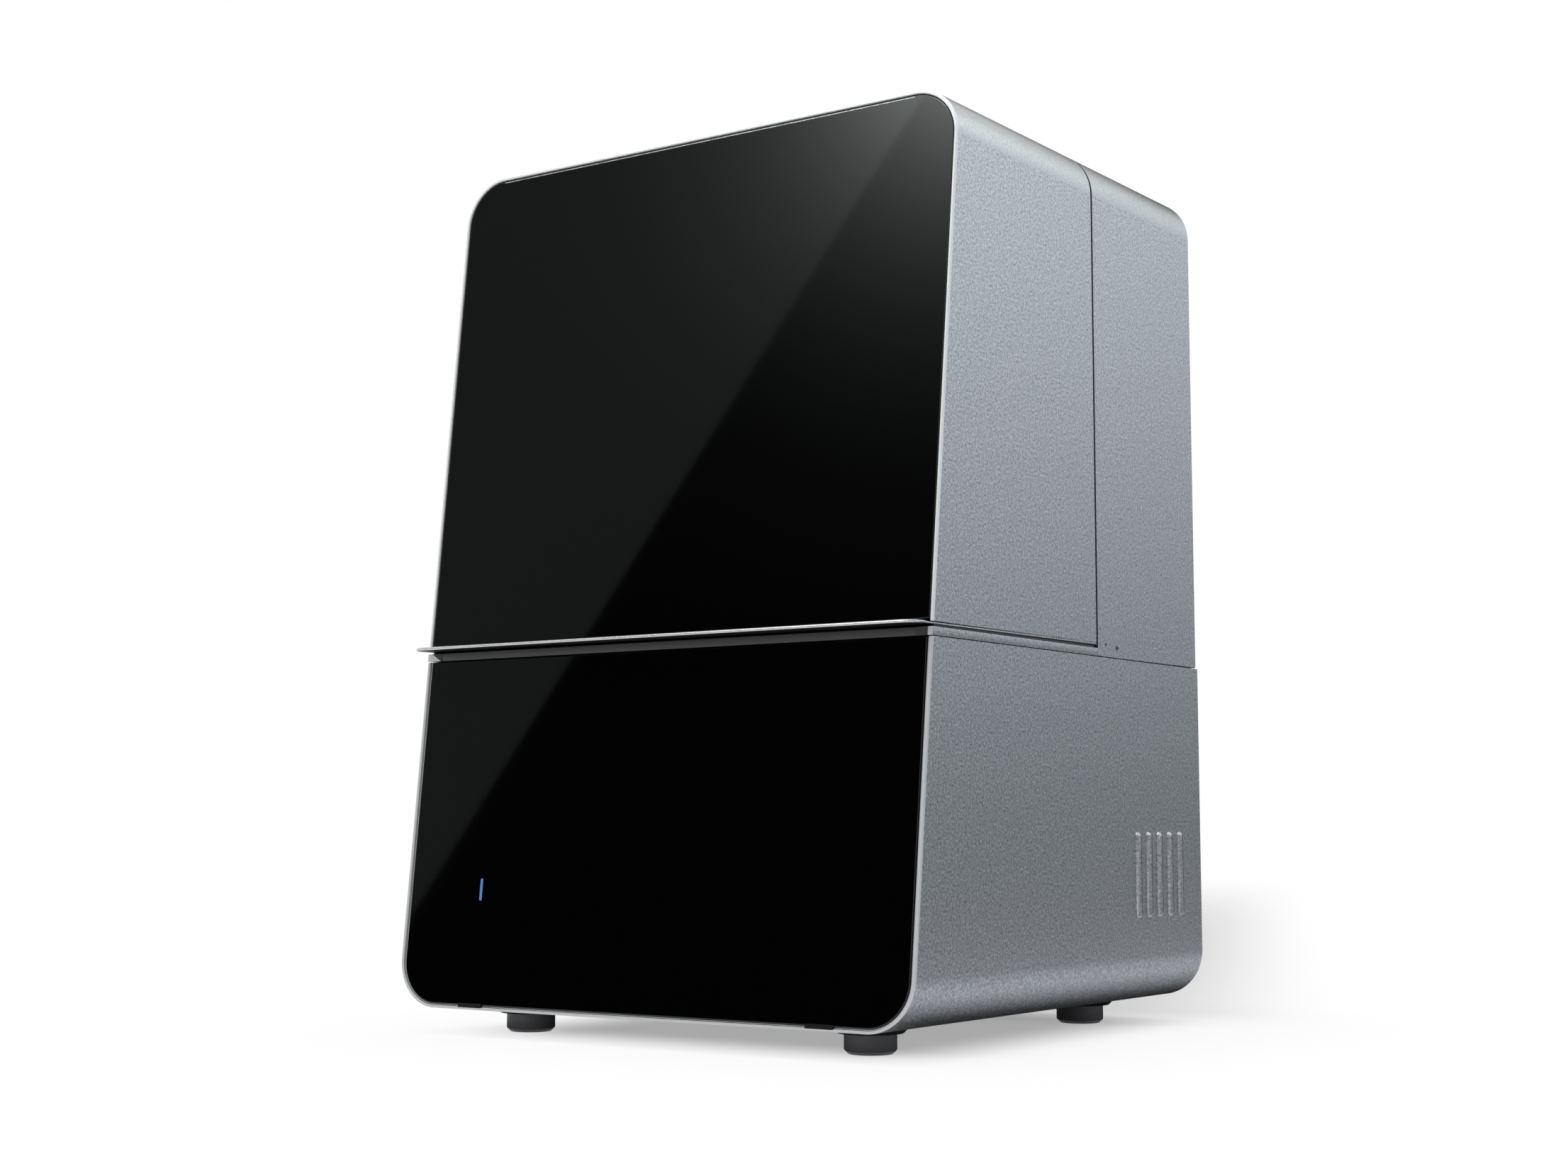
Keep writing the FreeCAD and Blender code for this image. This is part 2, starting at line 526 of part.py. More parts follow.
def feet():
    """Rubber feet, their pads and their screws."""
    rubbers = []
    pads = []
    screws = []
    for name, x, y in foot_places():
        tip = cone(f"foot_tip_{name}", x, y, 0, "dims.foot_radius - dims.foot_chamfer", "dims.foot_radius",
                   "dims.foot_chamfer")
        stem = rod(f"foot_stem_{name}", x, y, "dims.foot_chamfer", "dims.foot_radius",
                   "dims.foot_height - dims.foot_chamfer")
        hole_radius = "dims.foot_screw_radius + dims.screw_clearance"
        hole = rod(f"foot_bore_{name}", x, y, 0, hole_radius, "dims.foot_height")
        recess = rod(f"foot_recess_{name}", x, y, 0, "dims.foot_head_radius + dims.foot_recess_margin",
                     "dims.foot_recess_depth")
        rubbers.append(cut(f"foot_{name}", fuse(f"foot_solid_{name}", tip, stem), hole, recess))
        pad_radius = "dims.foot_radius + dims.pad_margin"
        taper = cone(f"pad_taper_{name}", x, y, "dims.foot_height", pad_radius,
                     f"{pad_radius} + dims.pad_chamfer",
                     "dims.pad_chamfer")
        flat = rod(f"pad_flat_{name}", x, y, "dims.foot_height + dims.pad_chamfer",
                   f"{pad_radius} + dims.pad_chamfer", "dims.pad_thickness - dims.pad_chamfer")
        bore = rod(f"pad_bore_{name}", x, y, "dims.foot_height", hole_radius, "dims.pad_thickness")
        pads.append(cut(f"pad_{name}", fuse(f"pad_solid_{name}", taper, flat), bore))
        head_z = "dims.foot_recess_depth - dims.foot_head_height"
        head = rod(f"screw_head_{name}", x, y, head_z, "dims.foot_head_radius", "dims.foot_head_height")
        shank = rod(f"screw_shank_{name}", x, y, head_z, "dims.foot_screw_radius",
                    f"datum.floor - ({head_z}) - dims.screw_clearance")
        screws.append(fuse(f"foot_screw_{name}", head, shank))
    node("rubber_feet", group("rubber_feet", *rubbers))
    node("foot_pads", group("foot_pads", *pads))
    node("foot_screws", group("foot_screws", *screws))


def base_fascia():
    """Lower glass with its indicator bar, the clips that hold it and the display behind it."""
    bottom = "(datum.floor + dims.glass_clearance)"
    width = "dims.body_width - 2 * dims.base_wall - 2 * dims.glass_clearance"
    height = f"(datum.base_top - {bottom}) / cos(dims.front_lean)"
    radius = "dims.corner_radius - dims.base_wall - dims.glass_clearance"
    glass = plate("fascia_glass", "XZ_Plane", width, height, "dims.glass_thickness", radius, ("bottom",))
    leaning(glass, 0, "dims.glass_setback", bottom)
    light_z = "(datum.body_bottom + dims.light_rise)"
    slot = leaning_block("light_slot", "-dims.light_x", 0, f"{light_z} - dims.light_fit",
                         "dims.light_width + 2 * dims.light_fit", "2 * dims.glass_thickness",
                         "dims.light_height + 2 * dims.light_fit")
    node("base_fascia", cut("base_fascia", glass, slot))
    node("indicator_light", leaning_block("indicator_light", "-dims.light_x", "dims.glass_setback", light_z,
                                          "dims.light_width", "dims.light_depth", "dims.light_height"))
    node("display_module", leaning_block("display_module", 0, "dims.glass_setback + dims.glass_thickness",
                                         "datum.body_bottom + dims.display_rise", "dims.display_width",
                                         "dims.display_thickness", "dims.display_height"))
    clips = []
    for side_name, side in SIDES.items():
        x = f"{side} * dims.clip_spacing / 2"
        tab_width = "dims.clip_width - 2 * dims.clip_fit"
        foot_y = f"{front_at('datum.floor')} + dims.clip_fit"
        tab = block(f"clip_tab_{side_name}", x, foot_y, "datum.floor - dims.clip_notch + dims.clip_fit",
                    tab_width, "dims.clip_depth - 2 * dims.clip_fit - dims.base_wall * datum.slope",
                    "dims.clip_notch - dims.clip_fit")
        glass_back = "(dims.glass_setback + dims.glass_thickness) / cos(dims.front_lean)"
        back = f"{glass_back} + dims.clip_rise * datum.slope"
        upright = block(f"clip_upright_{side_name}", x, f"{foot_y} + {back}", "datum.floor", tab_width,
                        f"dims.clip_depth - 2 * dims.clip_fit - dims.base_wall * datum.slope - ({back})",
                        "dims.clip_rise")
        clips.append(fuse(f"clip_{side_name}", tab, upright))
    node("fascia_clips", group("fascia_clips", *clips))


def rear_housing():
    """Fixed upper case behind the hood, one piece with the strips that run under the hood."""
    height = "(datum.top - datum.ring_bottom)"
    body = case_shell("housing_case", height, "dims.hood_wall", ("top",),
                      "datum.housing_rear - datum.housing_front")
    place(body, 0, "datum.housing_front", "datum.ring_bottom")
    strips = [
        block(f"strip_{side_name}", f"{side} * (datum.half_width - dims.ring_width / 2)", "datum.front",
              "datum.ring_bottom", "dims.ring_width", "datum.housing_rear - datum.front", "dims.ring_height")
        for side_name, side in SIDES.items()
    ]
    strips.append(block("strip_front", 0, "datum.deck_front + dims.ring_setback", "datum.ring_bottom",
                        "dims.body_width - dims.ring_width", "dims.ring_width", "dims.ring_height"))
    lugs, tools = panel_lugs("dims.hood_wall")
    for side_name, side in SIDES.items():
        x = f"{side} * datum.half_width - dims.hood_wall - dims.side_pin_radius"
        tools.append(rod(f"side_pin_hole_{side_name}", x, "datum.housing_front + dims.side_pin_setback",
                         "datum.deck + dims.side_pin_rise",
                         "dims.side_pin_radius + dims.hinge_fit",
                         "2 * dims.hood_wall + 2 * dims.side_pin_radius", "x"))
    solid = fuse("housing_solid", body, *strips, *lugs)
    node("rear_housing", cut("rear_housing", solid, front_cutter("housing_front_trim"), *tools))


def seam_seal():
    """Black light seal on the housing, reaching forward inside the hood, slotted for the hinge arms."""
    offset = "(dims.hood_wall + dims.seal_gap)"
    bottom = "(datum.hood_bottom + dims.seal_rise)"
    width = f"(dims.body_width - 2 * {offset})"
    height = f"(datum.top - {offset} - {bottom})"
    radius = f"(dims.corner_radius - {offset})"
    depth = "2 * dims.seal_reach + dims.side_seam"
    band = plate("seal_band", "XZ_Plane", width, height, depth, radius, ("top",))
    sheet_gap = "dims.seal_thickness"
    open_up(band, "XZ_Plane", f"{width} - 2 * {sheet_gap}", f"{height} - {sheet_gap}",
            f"{radius} - {sheet_gap}", ("top",))
    place(band, 0, "datum.hood_rear - dims.seal_reach", bottom)
    slots = [
        block(f"seal_slot_{side_name}", f"{side} * dims.hinge_spacing / 2",
              "datum.hood_rear - dims.seal_reach",
              "datum.roof - dims.corner_radius", "dims.seal_slot", depth, "dims.corner_radius")
        for side_name, side in SIDES.items()
    ]
    node("seam_seal", cut("seam_seal", band, *slots))


def back_panels():
    """Upper and lower back panels with their openings and screws."""
    clear = "dims.panel_clearance"
    upper_width = f"dims.body_width - 2 * dims.hood_wall - 2 * {clear}"
    upper = plate("upper_panel_sheet", "XZ_Plane", upper_width, f"datum.roof - datum.deck - {clear}",
                  "dims.panel_thickness", f"dims.corner_radius - dims.hood_wall - {clear}", ("top",))
    place(upper, 0, "datum.upper_panel", "datum.deck")
    lower_width = f"dims.body_width - 2 * dims.base_wall - 2 * {clear}"
    lower = plate("lower_panel_sheet", "XZ_Plane", lower_width, f"datum.base_top - datum.floor - {clear}",
                  "dims.panel_thickness", f"dims.corner_radius - dims.base_wall - {clear}", ("bottom",))
    place(lower, 0, "datum.lower_panel", f"datum.floor + {clear}")
    tools = {"upper": [], "lower": []}
    screws = []
    for name, x, z, face, wall in panel_screw_places():
        panel = "lower" if face == "datum.lower_panel" else "upper"
        radius = "dims.panel_screw_radius + dims.screw_clearance"
        tools[panel].append(rod(f"panel_hole_{name}", x, face, z, radius, "dims.panel_thickness", "y"))
        outside = f"{face} + dims.panel_thickness"
        head = rod(f"panel_head_{name}", x, outside, z, "dims.panel_head_radius", "dims.panel_head_height",
                   "y")
        shank = rod(f"panel_shank_{name}", x, f"{outside} - dims.panel_screw_length", z,
                    "dims.panel_screw_radius", "dims.panel_screw_length", "y")
        screws.append(fuse(f"panel_screw_{name}", head, shank))
    for side_name, side in SIDES.items():
        x = f"{side} * (datum.half_width - dims.hood_wall / 2) - dims.hood_wall / 2"
        screws.append(rod(f"side_pin_{side_name}", x, "datum.housing_front + dims.side_pin_setback",
                          "datum.deck + dims.side_pin_rise", "dims.side_pin_radius", "dims.hood_wall", "x"))
    for index in range(ROOF_SLOT_COUNT):
        x = f"({index} - {(ROOF_SLOT_COUNT - 1) / 2}) * dims.roof_slot_pitch"
        z = "datum.roof - dims.corner_radius - dims.roof_slot_length"
        tools["upper"].append(block(f"roof_slot_{index}", x, "datum.upper_panel", z, "dims.roof_slot_width",
                                    "dims.panel_thickness", "dims.roof_slot_length"))
    gap = "2 * dims.fitting_gap"
    openings = {
        "inlet": ("dims.inlet_x", "datum.inlet_z", "dims.inlet_body_width", "dims.inlet_body_height"),
        "switch": ("dims.inlet_x", "datum.switch_z", "dims.switch_body_width", "dims.switch_body_height"),
        "lan": ("dims.lan_x", "datum.ports_z", "dims.lan_width", "dims.lan_height"),
        "usb": ("dims.usb_x", "datum.ports_z", "dims.usb_width", "dims.usb_height"),
    }
    for name, (x, z, width, height) in openings.items():
        tools["lower"].append(block(f"{name}_opening", x, "datum.lower_panel",
                                    f"{z} - {height} / 2 - dims.fitting_gap",
                                    f"{width} + {gap}", "dims.panel_thickness", f"{height} + {gap}"))
    tools["lower"].append(rod("fan_opening", "-dims.fan_x", "datum.lower_panel", "datum.fan_z",
                              "dims.fan_bore_radius", "dims.panel_thickness", "y"))
    node("upper_back_panel", cut("upper_back_panel", upper, *tools["upper"]))
    node("lower_back_panel", cut("lower_back_panel", lower, *tools["lower"]))
    node("panel_screws", group("panel_screws", *screws))


def power_inlet():
    """Appliance inlet with its three contacts."""
    x = "dims.inlet_x"
    z = "datum.inlet_z"
    flange = block("inlet_flange", x, "datum.panel_face", f"{z} - dims.inlet_flange_height / 2",
                   "dims.inlet_flange_width", "dims.panel_inset", "dims.inlet_flange_height")
    body = block("inlet_body", x, "datum.panel_face - dims.inlet_depth", f"{z} - dims.inlet_body_height / 2",
                 "dims.inlet_body_width", "dims.inlet_depth", "dims.inlet_body_height")
    socket = block("inlet_socket", x, "datum.rear - dims.socket_depth", f"{z} - dims.socket_height / 2",
                   "dims.socket_width", "dims.socket_depth", "dims.socket_height")
    pieces = [cut("inlet_shell", fuse("inlet_solid", flange, body), socket)]
    for index in (-1, 0, 1):
        contact_z = f"{z} - dims.contact_height / 2 + {1 - abs(index)} * dims.contact_height / 2"
        pieces.append(block(f"inlet_contact_{index + 1}", f"{x} + {index} * dims.contact_pitch",
                            "datum.rear - dims.socket_depth", contact_z, "dims.contact_width",
                            "dims.contact_length", "dims.contact_height"))
    node("power_inlet", group("power_inlet", *pieces))


def power_switch():
    """Switch housing and its rocker, which tilts on two trunnions."""
    x = "dims.inlet_x"
    z = "datum.switch_z"
    flange = block("switch_flange", x, "datum.panel_face", f"{z} - dims.switch_flange_height / 2",
                   "dims.switch_flange_width", "dims.panel_inset", "dims.switch_flange_height")
    body = block("switch_body", x, "datum.panel_face - dims.switch_depth",
                 f"{z} - dims.switch_body_height / 2",
                 "dims.switch_body_width", "dims.switch_depth", "dims.switch_body_height")
    well_height = "(dims.rocker_height + 2 * dims.rocker_gap + dims.rocker_thickness * sin(dims.rocker_tilt))"
    well_width = "(dims.rocker_width + 2 * dims.rocker_gap)"
    well = block("switch_well", x, "datum.rear - dims.switch_depth + dims.panel_inset",
                 f"{z} - {well_height} / 2",
                 well_width, "dims.switch_depth", well_height)
    socket_length = f"({well_width} + 2 * dims.trunnion_reach + 2 * dims.trunnion_fit)"
    socket = rod("trunnion_socket", f"{x} - {socket_length} / 2", "datum.rocker_y", z,
                 "dims.trunnion_radius + dims.trunnion_fit", socket_length, "x")
    node("switch_housing", cut("switch_housing", fuse("switch_solid", flange, body), well, socket))
    trunnion_length = f"({well_width} + 2 * dims.trunnion_reach)"
    trunnion = rod("rocker_trunnion", f"{x} - {trunnion_length} / 2", "datum.rocker_y", z,
                   "dims.trunnion_radius", trunnion_length, "x")
    paddle = box("rocker_paddle", 0, 0, 0, "dims.rocker_width", "dims.rocker_thickness", "dims.rocker_height")
    paddle.Placement = FreeCAD.Placement(Vector(), Rotation(Vector(-1, 0, 0), value("dims.rocker_tilt")))
    paddle.setExpression("Placement.Rotation.Angle", "dims.rocker_tilt")
    half_depth = "dims.rocker_thickness / 2"
    half_height = "dims.rocker_height / 2"
    tilt = "dims.rocker_tilt"
    place(paddle, f"{x} - dims.rocker_width / 2",
          f"datum.rocker_y - {half_depth} * cos({tilt}) - {half_height} * sin({tilt})",
          f"{z} + {half_depth} * sin({tilt}) - {half_height} * cos({tilt})")
    node("power_rocker", fuse("power_rocker", paddle, trunnion))


def exhaust_fan():
    """Fan frame with its hub plate and axle, the rotor, and the wire guard outside."""
    x = "-dims.fan_x"
    z = "datum.fan_z"
    inner = "datum.lower_panel - dims.fan_depth"
    square = block("fan_square", x, inner, f"{z} - dims.fan_size / 2", "dims.fan_size", "dims.fan_depth",
                   "dims.fan_size")
    bore = rod("fan_bore", x, inner, z, "dims.fan_bore_radius", "dims.fan_depth", "y")
    hub = rod("fan_hub_plate", x, inner, z, "dims.fan_hub_radius", "dims.fan_hub_plate", "y")
    span = "2 * dims.fan_bore_radius + dims.fan_strut"
    struts = [
        block("fan_strut_level", x, inner, f"{z} - dims.fan_strut / 2", span, "dims.fan_hub_plate",
              "dims.fan_strut"),
        block("fan_strut_upright", x, inner, f"{z} - ({span}) / 2", "dims.fan_strut", "dims.fan_hub_plate",
              span),
    ]
    rotor_y = f"{inner} + dims.fan_hub_plate + dims.fan_side_gap"
    axle_length = "dims.fan_hub_plate + dims.rotor_depth / 2"
    axle = rod("fan_axle", x, inner, z, "dims.fan_axle_radius", axle_length, "y")
    shroud = cut("fan_shroud", square, bore)
    node("fan_frame", fuse("fan_frame", shroud, hub, *struts, axle))
    rotor_hub = rod("rotor_hub", x, rotor_y, z, "dims.fan_hub_radius", "dims.rotor_depth", "y")
    blades = [rotor_hub]
    for index in range(BLADE_COUNT):
        turn = 360 * index / BLADE_COUNT
        blade = doc.addObject("Part::Box", f"rotor_blade_{index}")
        pitch = Rotation(Vector(1, 0, 0), value("dims.blade_pitch"))
        blade.Placement = FreeCAD.Placement(Vector(), Rotation(Vector(0, 1, 0), turn) * pitch)
        overlap = "dims.blade_thickness"
        blade.setExpression("Length", f"dims.blade_length + {overlap}")
        blade.setExpression("Width", "dims.blade_chord")
        blade.setExpression("Height", "dims.blade_thickness")
        root = f"(dims.fan_hub_radius - {overlap})"
        back = "(dims.blade_chord / 2 * sin(dims.blade_pitch))"
        place(blade, f"{x} + {root} * cos({turn}) - {back} * sin({turn})",
              f"{rotor_y} + dims.rotor_depth / 2 - dims.blade_chord / 2 * cos(dims.blade_pitch)",
              f"{z} - {root} * sin({turn}) - {back} * cos({turn})")
        blades.append(blade)
    axle_hole = rod("rotor_hole", x, rotor_y, z, "dims.fan_axle_radius + dims.fan_fit",
                    "dims.rotor_depth / 2 + dims.fan_side_gap", "y")
    node("fan_rotor", cut("fan_rotor", fuse("rotor_solid", *blades), axle_hole))
    wire_y = "datum.panel_face + dims.guard_wire"
    wires = []
    for index in (1, 2, 3):
        ring = primitive("Torus", f"guard_ring_{index}", x, wire_y, z, TURN["y"],
                         Radius1=f"dims.fan_bore_radius - {3 - index} * dims.guard_step",
                         Radius2="dims.guard_wire")
        wires.append(ring)
    spoke = "dims.fan_size"
    wires.append(rod("guard_spoke_level", f"{x} - {spoke} / 2", wire_y, z, "dims.guard_wire", spoke, "x"))
    wires.append(rod("guard_spoke_upright", x, wire_y, f"{z} - {spoke} / 2", "dims.guard_wire", spoke))
    node("fan_guard", fuse("fan_guard", *wires))


def data_ports():
    """Network jack and serial port in the lower back panel."""
    z = "datum.ports_z"
    inner = "datum.panel_face - dims.port_depth"
    lan = block("lan_shell", "dims.lan_x", inner, f"{z} - dims.lan_height / 2", "dims.lan_width",
                "dims.port_depth", "dims.lan_height")
    jack = block("lan_jack", "dims.lan_x", "datum.panel_face - dims.jack_depth",
                 f"{z} - dims.lan_jack_height / 2",
                 "dims.lan_jack_width", "dims.jack_depth", "dims.lan_jack_height")
    usb = block("usb_shell", "dims.usb_x", inner, f"{z} - dims.usb_height / 2", "dims.usb_width",
                "dims.port_depth", "dims.usb_height")
    hollow = block("usb_hollow", "dims.usb_x", "datum.panel_face - dims.jack_depth",
                   f"{z} - dims.usb_height / 2 + dims.usb_wall", "dims.usb_width - 2 * dims.usb_wall",
                   "dims.jack_depth", "dims.usb_height - 2 * dims.usb_wall")
    tongue = block("usb_tongue", "dims.usb_x", inner, f"{z} + dims.usb_wall / 2",
                   "dims.usb_width - 4 * dims.usb_wall",
                   "dims.port_depth - dims.usb_wall", "dims.usb_tongue")
    usb_port = fuse("usb_port", cut("usb_case", usb, hollow), tongue)
    node("data_ports", group("data_ports", cut("lan_port", lan, jack), usb_port))


def deck():
    """Rails inside the base, the deck plate they carry and the exposure screen set into it."""
    rails = []
    length = "datum.lower_panel - dims.lug_size - datum.deck_front - dims.clip_depth"
    for side_name, side in SIDES.items():
        inner = "datum.half_width - dims.base_wall"
        y = "datum.deck_front + dims.clip_depth"
        leg = block(f"rail_leg_{side_name}", f"{side} * ({inner} - dims.rail_sheet / 2)", y,
                    "datum.ring_bottom - dims.rail_leg", "dims.rail_sheet", length, "dims.rail_leg")
        flange = block(f"rail_flange_{side_name}", f"{side} * ({inner} - dims.rail_flange / 2)", y,
                       "datum.ring_bottom - dims.rail_sheet", "dims.rail_flange", length, "dims.rail_sheet")
        rails.append(fuse(f"deck_rail_{side_name}", leg, flange))
    rails.append(block("deck_rail_rear", 0, "datum.lower_panel - dims.rail_sheet",
                       "datum.ring_bottom - dims.rail_leg",
                       "dims.body_width - 2 * dims.base_wall - 2 * dims.rail_flange - 2 * dims.lug_size",
                       "dims.rail_sheet", "dims.rail_leg"))
    node("deck_rails", group("deck_rails", *rails))
    clear = "dims.panel_clearance"
    start = f"datum.deck_front + dims.ring_setback + dims.ring_width + {clear}"
    sheet_plate = block("deck_sheet", 0, start, "datum.ring_bottom",
                        f"dims.body_width - 2 * dims.ring_width - 2 * {clear}",
                        f"datum.housing_rear - dims.panel_inset - ({start})", "dims.ring_height")
    recess = block("lcd_recess", 0, "datum.vat_centre - dims.lcd_depth / 2 - dims.lcd_fit",
                   "datum.deck - dims.lcd_thickness", "dims.lcd_width + 2 * dims.lcd_fit",
                   "dims.lcd_depth + 2 * dims.lcd_fit", "dims.lcd_thickness")
    aperture = block("lcd_aperture", 0, "datum.vat_centre - dims.aperture_depth / 2", "datum.ring_bottom",
                     "dims.aperture_width", "dims.aperture_depth", "dims.ring_height")
    holes = [
        rod(f"stud_hole_{side_name}", f"{side} * datum.ear_centre", "datum.vat_centre", "datum.ring_bottom",
            "dims.stud_radius + dims.stud_fit", "dims.ring_height")
        for side_name, side in SIDES.items()
    ]
    holes.append(rod("screw_hole", 0, "datum.screw_y", "datum.ring_bottom",
                     "dims.low_journal_radius + dims.journal_fit", "dims.ring_height"))
    node("deck_plate", cut("deck_plate", sheet_plate, recess, aperture, *holes))
    node("lcd_screen", block("lcd_screen", 0, "datum.vat_centre - dims.lcd_depth / 2",
                             "datum.deck - dims.lcd_thickness", "dims.lcd_width", "dims.lcd_depth",
                             "dims.lcd_thickness"))


def resin_vat():
    """Vat frame with its ears, the stretched film under it and the ring that clamps the film."""
    corner = "dims.vat_corner"
    frame = plate("vat_frame", "XY_Plane", "datum.vat_width", "datum.vat_depth", "dims.vat_height",
                  f"{corner} + dims.vat_wall", ("bottom", "top"))
    open_up(frame, "XY_Plane", "dims.vat_inner_width", "dims.vat_inner_depth", corner, ("bottom", "top"),
            "dims.vat_wall")
    place(frame, 0, "datum.vat_front", "datum.deck")
    ears = []
    holes = []
    for side_name, side in SIDES.items():
        reach = "dims.ear_length + dims.vat_wall / 2"
        ears.append(block(f"ear_{side_name}",
                          f"{side} * (datum.vat_width / 2 - dims.vat_wall / 2 + ({reach}) / 2)",
                          "datum.vat_centre - dims.ear_width / 2", "datum.deck", reach, "dims.ear_width",
                          "dims.ear_thickness"))
        holes.append(rod(f"ear_hole_{side_name}", f"{side} * datum.ear_centre", "datum.vat_centre",
                         "datum.deck",
                         "dims.stud_radius + dims.ear_hole_clearance", "dims.ear_thickness"))
    fit = "dims.film_ring_fit"
    ring_width = "(dims.vat_inner_width + 2 * dims.film_ring_width)"
    ring_depth = "(dims.vat_inner_depth + 2 * dims.film_ring_width)"
    recess = block("ring_recess", 0, f"datum.vat_centre - {ring_depth} / 2 - {fit}", "datum.deck",
                   f"{ring_width} + 2 * {fit}", f"{ring_depth} + 2 * {fit}",
                   "dims.film_gap + dims.film_thickness + dims.film_ring_height")
    node("vat_body", cut("vat_body", fuse("vat_solid", frame, *ears), recess, *holes))
    film_width = "(dims.vat_inner_width + 2 * dims.film_margin)"
    film_depth = "(dims.vat_inner_depth + 2 * dims.film_margin)"
    node("vat_film", block("vat_film", 0, f"datum.vat_centre - {film_depth} / 2", "datum.film_bottom",
                           film_width,
                           film_depth, "dims.film_thickness"))
    ring = block("ring_outside", 0, f"datum.vat_centre - {ring_depth} / 2", "datum.film_top", ring_width,
                 ring_depth,
                 "dims.film_ring_height")
    window = block("ring_window", 0, "datum.vat_centre - dims.vat_inner_depth / 2", "datum.film_top",
                   "dims.vat_inner_width", "dims.vat_inner_depth", "dims.film_ring_height")
    node("film_ring", cut("film_ring", ring, window))


def vat_thumbscrews():
    """Fluted thumbscrews that hold the vat's ears down to the deck."""
    for side_name, side in SIDES.items():
        x = f"{side} * datum.ear_centre"
        y = "datum.vat_centre"
        knob_z = "datum.deck + dims.ear_thickness + dims.vat_knob_gap"
        knob = rod(f"thumb_{side_name}", x, y, knob_z, "dims.vat_knob_radius", "dims.vat_knob_height")
        stud = rod(f"stud_{side_name}", x, y, "datum.ring_bottom", "dims.stud_radius",
                   f"{knob_z} - datum.ring_bottom + dims.vat_knob_height / 2")
        flutes = [
            rod(f"flute_{side_name}_{index}", f"{x} + dims.vat_knob_radius * cos({turn})",
                f"{y} + dims.vat_knob_radius * sin({turn})", knob_z, "dims.flute_radius",
                "dims.vat_knob_height")
            for index, turn in enumerate(range(0, 360, 45))
        ]
        grip = cut(f"grip_{side_name}", knob, *flutes)
        node(f"vat_screw_{side_name}", fuse(f"vat_screw_{side_name}", grip, stud))


def lift_column():
    """Channel column on the deck, its two rails and the top bearing block."""
    height = "(datum.column_top - datum.deck)"
    post = block("column_post", 0, "datum.column_front", "datum.deck", "dims.column_width",
                 "dims.column_depth", height)
    foot = block("column_foot", 0, "datum.column_front", "datum.deck",
                 "dims.column_width + 2 * dims.column_foot",
                 "dims.column_depth", "dims.column_foot_height")
    channel = block("column_channel", 0, "datum.column_front", "datum.deck", "dims.channel_width",
                    "dims.column_depth - dims.column_web", height)
    node("z_column", cut("z_column", fuse("column_solid", post, foot), channel))
    rails = []
    for side_name, side in SIDES.items():
        x = f"{side} * dims.rail_spacing / 2"
        start = "datum.deck + dims.rail_start"
        bar = block(f"rail_bar_{side_name}", x, "datum.rail_front", start, "dims.rail_width",
                    "dims.rail_thickness",
                    f"datum.rail_top - ({start})")
        grooves = [
            block(f"rail_groove_{side_name}_{edge}", f"{x} + ({edge}) * dims.rail_width / 2",
                  "datum.rail_front + dims.rail_groove_setback", start, "2 * dims.rail_groove",
                  "dims.rail_groove_height", f"datum.rail_top - ({start})")
            for edge in (-1, 1)
        ]
        rails.append(cut(f"rail_{side_name}", bar, *grooves))
    node("linear_rails", group("linear_rails", *rails))
    bearing = block("bearing_block", 0, "datum.column_front", "datum.column_top", "dims.bearing_width",
                    "dims.column_depth", "dims.bearing_height")
    bore = rod("bearing_bore", 0, "datum.screw_y", "datum.column_top",
               "dims.top_journal_radius + dims.journal_fit",
               "dims.bearing_height")
    node("top_bearing_block", cut("top_bearing_block", bearing, bore))


